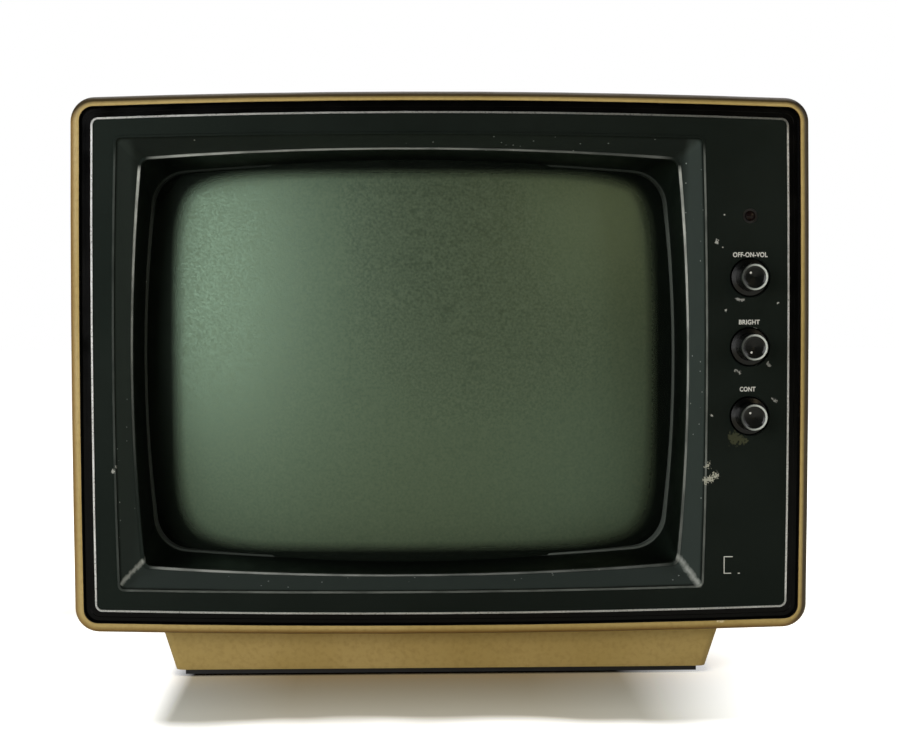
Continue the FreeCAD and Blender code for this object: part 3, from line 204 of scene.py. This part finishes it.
shaded = add_node(sheet, "ShaderNodeMath", {0: painted_shadow, 1: behind}, operation="MAXIMUM").outputs[0]
# The painted shadow's colour: warm, darkest near the pedestal and in the middle of its width
painted_shadow_core = product(sheet, ramp(sheet, sideways, -0.13, -0.07), ramp(sheet, sideways, 0.13, 0.04))
painted_shadow_tone = blend_colours(sheet, ramp(sheet, forward, -0.135, -0.215), linear("B8A478"), linear("E6DCC4"))
paper_with_painted_shade = blend_colours(sheet, product(sheet, painted_shadow_core, 0.8), linear("F2F1E6"), painted_shadow_tone)
# Painted shade: the paper's colour goes nearly black where it meets the display
contact_for_painted_shade = add_node(sheet, "ShaderNodeAmbientOcclusion", {"Distance": 0.006}, samples=8).outputs["AO"]
paper_with_painted_shade = blend_colours(sheet, ramp(sheet, contact_for_painted_shade, 0.95, 0.6), paper_with_painted_shade, linear("14100A"))
matt = add_node(sheet, "ShaderNodeBsdfDiffuse", {"Color": paper_with_painted_shade})
lift = add_node(sheet, "ShaderNodeEmission", {"Color": (1, 1, 1, 1), "Strength": ramp(sheet, shaded, 0.0, 1.0, 1.0, 0.0)})
both = add_node(sheet, "ShaderNodeAddShader", {0: matt.outputs[0], 1: lift.outputs[0]})
chosen = add_node(sheet, "ShaderNodeMixShader", {0: path.outputs["Is Camera Ray"], 1: matt.outputs[0],
                                                 2: both.outputs[0]})
add_node(sheet, "ShaderNodeOutputMaterial", {"Surface": chosen.outputs[0]})
FLOOR_REACH = 6.0
corners = [(-FLOOR_REACH, -FLOOR_REACH, 0), (FLOOR_REACH, -FLOOR_REACH, 0),
           (FLOOR_REACH, FLOOR_REACH, 0), (-FLOOR_REACH, FLOOR_REACH, 0)]
plane = bpy.data.meshes.new("paper_floor")
plane.from_pydata(corners, [], [(0, 1, 2, 3)])
plane.materials.append(paper)
floor = bpy.data.objects.new("paper_floor", plane)
bpy.context.scene.collection.objects.link(floor)
print("floor", FLOOR_REACH * 2, "m across")

# %% [markdown]
# ## Moulded plastic
#
# Nearly all that shows is injection moulded ABS. Its mould is spark eroded, which
# leaves a fine stipple of about half a millimetre that breaks up every highlight. At
# the size of the picture half a millimetre is one pixel, so the stipple is drawn a
# little coarser. Old plastic is also uneven in colour by a few percent, and dust
# settles on what faces up. One function makes all of the plastics, because only the
# colour, the gloss and the depth of the stipple differ between them.

# %% A function for moulded plastic
def start_finish(name, **sockets):
    """A new material with a Principled shader, and the object's own coordinates."""
    material = bpy.data.materials.new(name)
    material.use_nodes = True
    tree = material.node_tree
    shader = tree.nodes["Principled BSDF"]
    for socket, number in sockets.items():
        shader.inputs[socket.replace("_", " ")].default_value = number
    place = add_node(tree, "ShaderNodeTexCoord").outputs["Object"]
    return material, tree, shader, place


def moulded_plastic(name, shade, deeper, dust, roughness, stipple_mm=1.0, relief_mm=0.05, dusty=0.35):
    material, tree, shader, place = start_finish(name, IOR=1.53, Roughness=roughness)
    patches = ramp(tree, noise(tree, place, 60, 4), 0.35, 0.65)
    colour = blend_colours(tree, patches, linear(shade), linear(deeper))
    normal = add_node(tree, "ShaderNodeNewGeometry").outputs["Normal"]
    upward = add_node(tree, "ShaderNodeSeparateXYZ", {"Vector": normal}).outputs["Z"]
    lying = ramp(tree, upward, 0.3, 1.0, 0.0, dusty)
    clumps = ramp(tree, noise(tree, place, 9, 6), 0.35, 0.7)
    dusting = add_node(tree, "ShaderNodeMath", {0: lying, 1: clumps}, operation="MULTIPLY").outputs[0]
    colour = blend_colours(tree, dusting, colour, linear(dust))
    tree.links.new(colour, shader.inputs["Base Color"])
    uneven = ramp(tree, noise(tree, place, 14, 3), 0.3, 0.7, roughness - 0.06, roughness + 0.08)
    tree.links.new(uneven, shader.inputs["Roughness"])
    bump = add_node(tree, "ShaderNodeBump", {"Height": noise(tree, place, stipple_mm, 1.0),
                                             "Distance": relief_mm * MM, "Strength": 0.6})
    tree.links.new(bump.outputs[0], shader.inputs["Normal"])
    return material, tree, shader, place


print("moulded plastic ready")

# %% [markdown]
# ## Tan cabinet
#
# The shell is tan ABS that has yellowed. Painted shade darkens the rounded outer edges
# of the rim near the front: brown where they turn to the left and down, nearly black
# where they turn to the right and up. A short pale streak on the rim at the lower right
# is a painted glint. A mark is a ball-shaped region whose edge is broken up by noise,
# mixed into the colour.
# region whose edge is broken up by noise, mixed into the colour.

# %% A function for marks at given places
def marks(tree, place, spots, ragged_mm, size_mm=1.2):
    """1 inside the spots, each (x, y, z, radius) in millimetres, with ragged edges."""
    wobble = ramp(tree, noise(tree, place, size_mm, 3), 0.3, 0.7, -ragged_mm * MM, ragged_mm * MM)
    total = None
    for x, y, z, radius in spots:
        away = add_node(tree, "ShaderNodeVectorMath", {0: place, 1: (x * MM, y * MM, z * MM)},
                        operation="DISTANCE").outputs["Value"]
        edge = add_node(tree, "ShaderNodeMath", {0: away, 1: wobble}, operation="ADD").outputs[0]
        inside = ramp(tree, edge, radius * MM, radius * MM * 0.8)
        if total is None:
            total = inside
        else:
            total = add_node(tree, "ShaderNodeMath", {0: total, 1: inside}, operation="MAXIMUM").outputs[0]
    return total


def recolour(tree, shader, share, colour):
    """Mixes a colour over what the shader has already."""
    socket = shader.inputs["Base Color"]
    before = socket.links[0].from_socket if socket.links else tuple(socket.default_value)
    tree.links.new(blend_colours(tree, share, before, linear(colour)), socket)


def streak(tree, place, start, end, radius, ragged_mm=0.5, size_mm=1.2):
    """1 within a radius of the line from start to end, in millimetres, with ragged edges."""
    start, way = Vector(start) * MM, (Vector(end) - Vector(start)) * MM
    reach = add_node(tree, "ShaderNodeVectorMath", {0: place, 1: start}, operation="SUBTRACT").outputs[0]
    share = add_node(tree, "ShaderNodeVectorMath", {0: reach, 1: way / way.length_squared},
                     operation="DOT_PRODUCT").outputs["Value"]
    nearest = add_node(tree, "ShaderNodeVectorMath", {0: way, "Scale": ramp(tree, share, 0.0, 1.0)},
                       operation="SCALE").outputs[0]
    off = add_node(tree, "ShaderNodeVectorMath", {0: reach, 1: nearest}, operation="DISTANCE").outputs["Value"]
    wobble = ramp(tree, noise(tree, place, size_mm, 3), 0.3, 0.7, -ragged_mm * MM, ragged_mm * MM)
    edge = add_node(tree, "ShaderNodeMath", {0: off, 1: wobble}, operation="ADD").outputs[0]
    return ramp(tree, edge, radius * MM, radius * MM * 0.2)


RIM_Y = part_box("front_cabinet")[0].y / MM
tan, tree, shader, place = moulded_plastic("tan_abs", "BAA267", "AD9558", "B8A880", 0.42)
shader.inputs["Specular IOR Level"].default_value = 0.3
mottled = ramp(tree, noise(tree, place, 2.4, 2), 0.45, 0.75, 0.0, 0.3)
recolour(tree, shader, mottled, "8A7038")
normal = add_node(tree, "ShaderNodeNewGeometry").outputs["Normal"]
# Painted shade on the rim's rounded outer edges near the front: brown where they turn left and down, nearly black
# where they turn right and up
painted_rim_shade_zone = ramp(tree, along(tree, place, "Y"), (RIM_Y + 6) * MM, (RIM_Y + 3) * MM)
for axis in ("X", "Z"):
    away = along(tree, normal, axis)
    recolour(tree, shader, product(tree, painted_rim_shade_zone, ramp(tree, away, -0.1, -0.8, 0.0, 0.8)), "6E4A14")
    recolour(tree, shader, product(tree, painted_rim_shade_zone, ramp(tree, away, 0.0, 0.35, 0.0, 0.92)), "241804")
# A painted glint: a short pale streak on the rim at the lower right
recolour(tree, shader, streak(tree, place, (131.6, RIM_Y, 27.6), (134.4, RIM_Y, 27.3), 0.6), "D8C8A0")
print("tan:", tan.name)

# %% [markdown]
# ## Black plastics
#
# The front moulding is charcoal ABS with the same stipple. It has white flecks, the
# rub marks round the knob wells and a patch of dried glue by the lowest knob. Light
# and shade are painted into its colour too: paler sloped walls round the screen, a
# nearly black collar deeper in, painted shade in the knob wells and in a groove at
# the edge of the recess, and painted highlights on the bead at that edge, along the
# ridge, on the inner lip, on the two lower mitre corners and round the lamp. The band
# round it is polished black, and the knobs are a satin black with a painted highlight
# round the front of each face, brighter on its right side, and painted shade further
# back.

# %% The charcoal front with its wear, and its painted light and shade
def touch(node, x, z):
    """Where a line from the viewer first meets a CAD piece, at x and z in millimetres."""
    return nodes[node].ray_cast((x * MM, -0.3, z * MM), (0, 1, 0))


PANEL_Y = touch("front_bezel", 147.4, 240)[1].y / MM
charcoal, tree, shader, place = moulded_plastic("charcoal_abs", "151815", "101310", "3E403A", 0.48,
                                                relief_mm=0.07, dusty=0.25)
shader.inputs["Specular IOR Level"].default_value = 0.16
shader.inputs["Specular Tint"].default_value = linear("B4D4C8")


def between(tree, depth, start, end, blur=0.1):
    """1 where the depth behind the rim lies between start and end, in millimetres."""
    entered = ramp(tree, depth, (RIM_Y + start - blur) * MM, (RIM_Y + start + blur) * MM)
    left = ramp(tree, depth, (RIM_Y + end + blur) * MM, (RIM_Y + end - blur) * MM)
    return product(tree, entered, left)


depth = along(tree, place, "Y")
height = along(tree, place, "Z")
sideways = add_node(tree, "ShaderNodeMath", {0: along(tree, place, "X"), 1: 14.6 * MM}, operation="ADD").outputs[0]
aside = add_node(tree, "ShaderNodeMath", {0: sideways}, operation="ABSOLUTE").outputs[0]
on_right = ramp(tree, sideways, -5 * MM, 5 * MM)
below = ramp(tree, height, 150 * MM, 140 * MM)
streaks = ramp(tree, noise(tree, place, 16, 3), 0.35, 0.6, 0.5, 1.0)
normal = add_node(tree, "ShaderNodeNewGeometry").outputs["Normal"]
crown = ramp(tree, along(tree, normal, "Y"), -0.75, -0.97)

# Painted light: the sloped walls round the screen are paler than the panel, most on the right and lower walls and
# least on the top one
painted_wall_light = choose(tree, ramp(tree, aside, 131 * MM, 134 * MM), choose(tree, below, 0.25, 0.95),
               choose(tree, on_right, 0.75, 1.0))
recolour(tree, shader, product(tree, between(tree, depth, 5.0, 15.9, 0.6), painted_wall_light), "373E3B")
# Painted shade: the collar deeper in the recess is nearly black
recolour(tree, shader, between(tree, depth, 17.2, 41.3, 0.4), "050705")

# Painted shade in a thin groove at the edge of the recess, and a painted highlight on the bead in front of it:
# strongest on the right and below, weak on the left, none on top
edge = choose(tree, ramp(tree, aside, 134 * MM, 137 * MM), choose(tree, below, 0.0, 0.6),
              product(tree, choose(tree, on_right, 0.2, 0.7), ramp(tree, height, 256 * MM, 246 * MM)))
recolour(tree, shader, between(tree, depth, 3.7, 3.95, 0.05), "030403")
recolour(tree, shader, product(tree, between(tree, depth, 3.0, 3.63, 0.02), product(tree, edge, streaks)),
         "7E837E")

# A painted highlight along the crown of the ridge bead round the screen: on the sides it grows brighter upwards, on
# the top and bottom it is weaker and fades from left to right
climb = ramp(tree, height, 70 * MM, 232 * MM)
upright = product(tree, choose(tree, on_right, product(tree, climb, climb), ramp(tree, climb, 0.0, 0.8, 0.2, 0.75)),
                  ramp(tree, height, 246.5 * MM, 243.0 * MM))
level = product(tree, ramp(tree, sideways, -90 * MM, 85 * MM, 0.45, 0.15),
                ramp(tree, aside, 127 * MM, 120 * MM))
painted_ridge_highlight = product(tree, choose(tree, ramp(tree, aside, 127 * MM, 130 * MM), level, upright), crown)
recolour(tree, shader, product(tree, between(tree, depth, 15.8, 16.9, 0.1), product(tree, painted_ridge_highlight, streaks)),
         "DCE0DA")
# A painted highlight on the inner lip by the glass, stronger on the right and faint near the top
painted_lip_highlight = product(tree, choose(tree, on_right, 0.25, 0.6), ramp(tree, height, 236 * MM, 214 * MM, 0.2, 1.0))
recolour(tree, shader, product(tree, ramp(tree, depth, (RIM_Y + 41.4) * MM, (RIM_Y + 41.8) * MM), painted_lip_highlight), "6A706A")

# Painted shade: each knob well darkened, with a thin dark ring on the panel round it
painted_well_shade = [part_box(name + "_knob") for name in ("volume", "brightness", "contrast")]
painted_well_shade = [((low.x + high.x) / 2 / MM, PANEL_Y + 3, (low.z + high.z) / 2 / MM, 9.8) for low, high in painted_well_shade]
recolour(tree, shader, marks(tree, place, painted_well_shade, 0.0), "060706")
# Painted highlights along the two lower mitre corners of the recess
for start, end, width in (((-152.8, -141.5, 47.3), (-143.6, -128.5, 57.0), 1.5),
                          ((122.9, -142.0, 45.0), (115.0, -130.9, 56.2), 2.1)):
    recolour(tree, shader, product(tree, streak(tree, place, start, end, width, 0.4, 2.0), 0.9), "A8ACA6")
specks = add_node(tree, "ShaderNodeTexVoronoi", {"Vector": place, "Scale": 1 / (9 * MM)})
tiny = ramp(tree, specks.outputs["Distance"], 0.055, 0.03)
chance = add_node(tree, "ShaderNodeSeparateXYZ", {"Vector": specks.outputs["Color"]}).outputs["X"]
few = ramp(tree, chance, 0.86, 0.87)
flecks = add_node(tree, "ShaderNodeMath", {0: tiny, 1: few}, operation="MULTIPLY").outputs[0]
recolour(tree, shader, flecks, "A9A9A2")
GLUE = [(140.4, PANEL_Y, 115.0, 3.4), (143.6, PANEL_Y, 114.6, 2.4)]
recolour(tree, shader, marks(tree, place, GLUE, 1.8, 1.4), "3C3D2C")
dusty_wall = product(tree, between(tree, depth, 5.0, 16.0, 0.6), choose(tree, on_right, below, 1.0))
grains = add_node(tree, "ShaderNodeTexVoronoi", {"Vector": place, "Scale": 1 / (3.2 * MM)})
picked = ramp(tree, along(tree, grains.outputs["Color"], "X"), 0.72, 0.74)
grain_dots = product(tree, ramp(tree, grains.outputs["Distance"], 0.13, 0.08), picked)
recolour(tree, shader, product(tree, dusty_wall, grain_dots), "9AA09C")
RUBS = [(131.2, PANEL_Y, 208.9, 0.9), (131.6, PANEL_Y, 210.0, 0.6), (135.9, PANEL_Y, 176.3, 0.6),
        (160.8, PANEL_Y, 179.8, 0.5), (150.7, PANEL_Y + 3.5, 167.8, 0.9), (129.1, PANEL_Y, 126.0, 0.6),
        (-156.5, PANEL_Y, 100.5, 1.0), (-154.9, PANEL_Y, 102.6, 0.7)]
recolour(tree, shader, marks(tree, place, RUBS, 0.5, 0.7), "A4A49E")
SCRATCHES = [(141.0, 181.8, 144.4, 181.2), (140.3, 147.5, 142.6, 146.6), (158.2, 134.0, 160.2, 132.8),
             (156.2, 151.0, 157.0, 149.6)]
for left_x, left_z, right_x, right_z in SCRATCHES:
    scratch = streak(tree, place, (left_x, PANEL_Y, left_z), (right_x, PANEL_Y, right_z), 0.7, 0.6, 0.7)
    recolour(tree, shader, product(tree, scratch, 0.6), "B4B4AE")
FLAKING = [(126.4, PANEL_Y, 95.0, 1.5), (128.8, PANEL_Y, 95.6, 1.5), (131.2, PANEL_Y, 97.4, 1.4),
           (127.2, PANEL_Y, 102.0, 1.2)]
recolour(tree, shader, marks(tree, place, FLAKING, 1.5, 0.8), "A8A89A")
# A painted highlight: a thin pale ring round the lamp
lamp_low, lamp_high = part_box("power_lamp")
lamp_at = ((lamp_low.x + lamp_high.x) / 2, PANEL_Y * MM, (lamp_low.z + lamp_high.z) / 2)
from_lamp = add_node(tree, "ShaderNodeVectorMath", {0: place, 1: lamp_at}, operation="DISTANCE").outputs["Value"]
painted_lamp_ring_highlight = product(tree, ramp(tree, from_lamp, 2.9 * MM, 3.2 * MM), ramp(tree, from_lamp, 3.6 * MM, 3.3 * MM))
recolour(tree, shader, product(tree, painted_lamp_ring_highlight, streaks), "3C423E")
print("charcoal with", len(GLUE) + len(RUBS), "marks")

# %% Gloss band, knobs and small black pieces
gloss_black, tree, shader, place = moulded_plastic("polished_black_abs", "030303", "040403", "2C2C2A", 0.2,
                                                   relief_mm=0.004, dusty=0.1)
shader.inputs["Specular IOR Level"].default_value = 0.1
knob_black, tree, shader, place = moulded_plastic("knob_black_abs", "0A0C0B", "0D0F0E", "30302D", 0.2,
                                                  relief_mm=0.02, dusty=0.1)
shader.inputs["Specular IOR Level"].default_value = 0.3
KNOB_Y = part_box("volume_knob")[0].y / MM
depth = along(tree, place, "Y")
# Painted shade: the part of each knob deep in its well is darker
recolour(tree, shader, ramp(tree, depth, (KNOB_Y + 7) * MM, (KNOB_Y + 10) * MM), "040504")
# A painted highlight round the front of each knob's face, brighter on its right side
edge = ramp(tree, depth, (KNOB_Y + 0.25) * MM, (KNOB_Y + 0.1) * MM)
painted_lit_side = ramp(tree, along(tree, place, "X"), 143 * MM, 150 * MM, 0.1, 1.0)
recolour(tree, shader, product(tree, edge, painted_lit_side), "C4CAC4")
small_black = moulded_plastic("small_black_plastic", "131313", "181817", "3A3A37", 0.45)[0]
print("3 blacks")

# %% [markdown]
# ## Metals, glass and the rest
#
# The silver line is aluminium foil pressed into the moulding, the screws and brackets
# are zinc plated steel, and the tube is thick glass tinted grey with its front etched
# to a fine grain. The tint and the phosphor behind it give the dull green grey of a
# screen that is switched off.

# %% A function for metals
def plated_metal(name, shade, deeper, roughness, brushed=(1, 1, 1), scratch_mm=0.6):
    """Metal whose roughness follows scratches. brushed stretches them along an axis."""
    material, tree, shader, place = start_finish(name, Metallic=1.0, Roughness=roughness)
    stretched = add_node(tree, "ShaderNodeVectorMath", {0: place, 1: brushed}, operation="MULTIPLY").outputs[0]
    scratches = noise(tree, stretched, scratch_mm, 4)
    colour = blend_colours(tree, ramp(tree, noise(tree, place, 12, 4), 0.35, 0.65), linear(shade), linear(deeper))
    tree.links.new(colour, shader.inputs["Base Color"])
    tree.links.new(ramp(tree, scratches, 0.3, 0.7, roughness - 0.08, roughness + 0.12),
                   shader.inputs["Roughness"])
    bump = add_node(tree, "ShaderNodeBump", {"Height": scratches, "Distance": 0.02 * MM, "Strength": 0.4})
    tree.links.new(bump.outputs[0], shader.inputs["Normal"])
    return material, tree, shader, place


silver, tree, shader, place = plated_metal("foil_aluminium", "E4E4E2", "C9C9C6", 0.30)
shader.inputs["Metallic"].default_value = 0.6
# Painted shade: the line's upper run is darker, more so to the right, and its lower run a little darker
height = along(tree, place, "Z")
painted_shade_top = product(tree, ramp(tree, height, 260 * MM, 266 * MM), ramp(tree, along(tree, place, "X"), -0.05, 0.12, 0.35, 0.9))
recolour(tree, shader, painted_shade_top, "5C605C")
recolour(tree, shader, ramp(tree, height, 42 * MM, 36 * MM, 0.0, 0.45), "7C807C")
# A painted glint: a pale break in the line at the lower right
painted_glint = marks(tree, place, [(133.0, RIM_Y, 32.0, 2.2)], 1.2, 0.7)
recolour(tree, shader, painted_glint, "F4F4F0")
zinc = plated_metal("zinc_plated_steel", "B9B7AE", "A5A398", 0.32)[0]
nickel = plated_metal("nickel_plate", "C8C2B4", "B7B1A2", 0.18)[0]
brass = plated_metal("brass", "D0AE62", "B8954C", 0.25)[0]
copper = plated_metal("enamelled_copper", "B5643A", "9B4F2C", 0.28, brushed=(1, 6, 1), scratch_mm=1.4)[0]
cast_aluminium = plated_metal("black_anodised_aluminium", "3A3A3C", "2E2E30", 0.38, brushed=(1, 1, 0.1))[0]
painted = moulded_plastic("grey_enamel", "4B4B48", "454542", "6B6B64", 0.4)[0]
black_paint = moulded_plastic("black_enamel", "0B0B0A", "0E0E0D", "2C2C28", 0.5)[0]
print("metals ready")

# %% The glass of the screen and its phosphor
etched, tree, shader, place = start_finish("etched_tinted_glass", IOR=1.95, Roughness=0.42, Alpha=0.8,
                                           Specular_IOR_Level=1.0)
etching = noise(tree, place, 1.2, 2.0)
powers = []
for axis, middle_mm, half_mm in (("X", -12.0, 118.0), ("Z", 151.5, 92.5)):
    share = ramp(tree, along(tree, place, axis), (middle_mm - half_mm * 2) * MM, (middle_mm + half_mm * 2) * MM, -2.0, 2.0)
    size = add_node(tree, "ShaderNodeMath", {0: share}, operation="ABSOLUTE").outputs[0]
    powers.append(add_node(tree, "ShaderNodeMath", {0: size, 1: 8.0}, operation="POWER").outputs[0])
outward = add_node(tree, "ShaderNodeMath", {0: powers[0], 1: powers[1]}, operation="ADD").outputs[0]
picture = ramp(tree, outward, 1.25, 0.75)
tint = blend_colours(tree, ramp(tree, etching, 0.3, 0.7), linear("282F20"), linear("464C38"))
tree.links.new(blend_colours(tree, picture, linear("0D110D"), tint), shader.inputs["Base Color"])
tree.links.new(blend_colours(tree, picture, linear("38423A"), linear("B8DCBE")), shader.inputs["Specular Tint"])
tree.links.new(ramp(tree, etching, 0.3, 0.7, 0.34, 0.50), shader.inputs["Roughness"])
grain = add_node(tree, "ShaderNodeBump", {"Height": etching, "Distance": 0.08 * MM, "Strength": 0.6})
tree.links.new(grain.outputs[0], shader.inputs["Normal"])
phosphor, tree, shader, place = start_finish("green_phosphor", Roughness=0.9)
powder = blend_colours(tree, ramp(tree, noise(tree, place, 1.2, 3), 0.3, 0.7), linear("A0B49A"), linear("B4C8AE"))
tree.links.new(powder, shader.inputs["Base Color"])
print("screen:", etched.name, "over", phosphor.name)

# %% [markdown]
# ## Inside and behind
#
# The rest is seen through the louvres or at the back: graphite on the funnel, ferrite,
# green circuit board, wound tape, capacitor sleeves, rubber and the speaker's paper.
# They are plastics and coatings with their own colours and grain.

# %% Finishes for the inside
def coating(name, shade, deeper, roughness, stipple_mm=1.0, relief_mm=0.05):
    return moulded_plastic(name, shade, deeper, "6E6A60", roughness, stipple_mm, relief_mm, dusty=0.5)[0]


graphite = coating("graphite_coating", "26272A", "2F3033", 0.65)
ferrite = coating("ferrite", "2B2B2E", "343438", 0.5, 1.4)
fibre_board = coating("green_circuit_board", "3E6A33", "35602C", 0.35, 3.0)
nylon = coating("natural_nylon", "C9C5B4", "BDB8A6", 0.4)
sleeve = coating("blue_sleeve", "243E74", "1E3463", 0.3, 4.0)
brown_resin = coating("brown_resin", "8A5A36", "78492A", 0.35)
tape = coating("yellow_tape", "C9A94A", "B79740", 0.45, 2.0)
varnish = coating("varnished_laminations", "3A3632", "453F39", 0.4)
cone_paper = coating("speaker_paper", "2B2825", "353029", 0.9)
red_rubber = coating("red_silicone", "7A2A22", "6C231C", 0.45)
black_rubber = coating("black_rubber", "1B1B1B", "222221", 0.7)
lamp_lens, tree, shader, place = moulded_plastic("red_lamp_lens", "0E0504", "120605", "40302C", 0.2,
                                                 relief_mm=0.004, dusty=0.1)
shader.inputs["Specular IOR Level"].default_value = 0.2
clear_glass = start_finish("clear_glass", Base_Color=linear("D8DCD8"), Roughness=0.05, Alpha=0.35)[0]
print("inside finishes ready")

# %% [markdown]
# ## Dressing the CAD pieces
#
# The record gives each CAD piece a material slot. One table from slot to finish dresses
# them all, and a slot that the table doesn't know stops the script.

# %% Hand out the finishes
FINISHES = {
    "tan_moulding": tan, "foot_rubber": black_rubber, "black_gloss": gloss_black, "silver_trim": silver,
    "charcoal_moulding": charcoal, "knob_black": knob_black, "plated_steel": zinc, "lamp_red": lamp_lens,
    "insulator_black": small_black, "tube_glass": etched, "phosphor": phosphor, "funnel_glass": graphite,
    "gun_steel": nickel, "circuit_board": fibre_board, "yoke_plastic": nylon, "copper_winding": copper,
    "ferrite": ferrite, "sink_aluminium": cast_aluminium, "transistor_steel": nickel,
    "capacitor_sleeve": sleeve, "component_brown": brown_resin, "fuse_glass": clear_glass,
    "contact_brass": brass, "core_lamination": varnish, "winding_tape": tape, "cone_paper": cone_paper,
    "anode_rubber": red_rubber, "lead_insulation": red_rubber, "panel_paint": painted,
    "jack_nickel": nickel, "gland_rubber": black_rubber, "base_paint": black_paint,
}
for part in frame["record"]["subparts"]:
    piece = nodes[part["node"]]
    piece.data.materials.clear()
    piece.data.materials.append(FINISHES[part["material_slot"]])

# %% [markdown]
# ## Printing on the front
#
# The names of the controls are pad printed in white, which leaves a film too thin to
# feel. Text objects are turned into meshes and laid on the panel, because a mesh can
# be brought to the exact width and height that the print has.

# %% Print the words
white_ink = moulded_plastic("white_print", "D8D8D2", "C4C4BD", "8C8C86", 0.5, relief_mm=0.01, dusty=0.0)[0]


def ink_piece(name, mesh, body="monitor"):
    mesh.materials.clear()
    mesh.materials.append(white_ink)
    piece = bpy.data.objects.new(name, mesh)
    bpy.context.scene.collection.objects.link(piece)
    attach(piece, body)
    return piece


def print_words(name, words, x, z, width, height):
    """Words on the panel, centred on x, z and brought to a width and height, in millimetres."""
    letters = bpy.data.curves.new(name + "_letters", "FONT")
    letters.body = words
    letters.offset = 0.03
    letters.extrude = 0.01
    letters.space_character = 1.05
    holder = bpy.data.objects.new(name + "_letters", letters)
    mesh = bpy.data.meshes.new_from_object(holder)
    bpy.data.objects.remove(holder)
    low = Vector([min(v.co[i] for v in mesh.vertices) for i in range(3)])
    high = Vector([max(v.co[i] for v in mesh.vertices) for i in range(3)])
    film = 0.03
    for vertex in mesh.vertices:
        share = [(vertex.co[i] - low[i]) / (high[i] - low[i]) for i in range(3)]
        vertex.co = ((x + (share[0] - 0.5) * width) * MM, (PANEL_Y - share[2] * film) * MM,
                     (z + (share[1] - 0.5) * height) * MM)
    print(name, width, "by", height, "mm")
    return ink_piece(name, mesh)


print_words("volume_words", "OFF-ON-VOL", 147.4, 202.9, 16.6, 2.4)
print_words("brightness_word", "BRIGHT", 147.1, 170.7, 10.0, 2.3)
print_words("contrast_word", "CONT", 146.4, 138.6, 7.6, 2.3)

# %% [markdown]
# ## A dot on each knob
#
# Each knob has a white dot, filled into a small dimple, that shows where it is set. The
# dot rides on the knob. It is found by dropping a line onto the knob's face, so that it
# sits in the dished front whatever its depth.

# %% Put the dots in
DOT_OUT = 2.8 * MM
DOT_RADIUS = 0.55 * MM
KNOBS = {"volume": -43, "brightness": -150, "contrast": -42}


def dot_on(name, degrees_from_top):
    joint = [each for each in frame["joints"] if each["name"] == name + "_turn"][0]
    turn = math.radians(degrees_from_top)
    x = joint["pos_m"][0] + DOT_OUT * math.sin(turn)
    z = joint["pos_m"][2] + DOT_OUT * math.cos(turn)
    _, face, normal, _ = touch(name + "_knob", x / MM, z / MM)
    steps = 20
    rim = [(DOT_RADIUS * math.cos(2 * math.pi * i / steps), DOT_RADIUS * math.sin(2 * math.pi * i / steps), 0)
           for i in range(steps)]
    points = rim + [(0.6 * px, 0.6 * py, 0.05 * MM) for px, py, _ in rim] + [(0, 0, 0.07 * MM)]
    faces = [(i, (i + 1) % steps, steps + (i + 1) % steps, steps + i) for i in range(steps)]
    faces += [(steps + i, steps + (i + 1) % steps, 2 * steps) for i in range(steps)]
    mesh = bpy.data.meshes.new(name + "_dot")
    mesh.from_pydata(points, [], faces)
    lean = normal.to_track_quat("Z", "Y").to_matrix().to_4x4()
    mesh.transform(Matrix.Translation(face) @ lean)
    mesh.polygons.foreach_set("use_smooth", [True] * len(mesh.polygons))
    return ink_piece(name + "_dot", mesh, name + "_control")


for name, degrees in KNOBS.items():
    dot_on(name, degrees)
print("3 dots")

# %% [markdown]
# ## The bare field
#
# At the foot of the column a printed outline marks a field, which stays empty. Much of
# the outline has rubbed away.

# %% What is left of the outline
def flat_bars(name, bars, thick=0.03):
    """Bars on the panel, each (x low, x high, z low, z high) in millimetres, as one piece."""
    points, faces = [], []
    for x_low, x_high, z_low, z_high in bars:
        first = len(points)
        for y in (PANEL_Y, PANEL_Y - thick):
            points += [(x_low, y, z_low), (x_high, y, z_low), (x_high, y, z_high), (x_low, y, z_high)]
        a, b, c, d, e, f, g, h = range(first, first + 8)
        faces += [(a, d, c, b), (e, f, g, h), (a, b, f, e), (b, c, g, f), (c, d, h, g), (d, a, e, h)]
    mesh = bpy.data.meshes.new(name)
    mesh.from_pydata([Vector(p) * MM for p in points], [], faces)
    return ink_piece(name, mesh)


flat_bars("lower_outline", [(135.2, 135.6, 49.8, 58.2), (135.6, 139.5, 57.8, 58.2),
                            (135.6, 138.8, 49.8, 50.2), (142.0, 143.0, 49.8, 50.2)])
print("outline of the lower field")
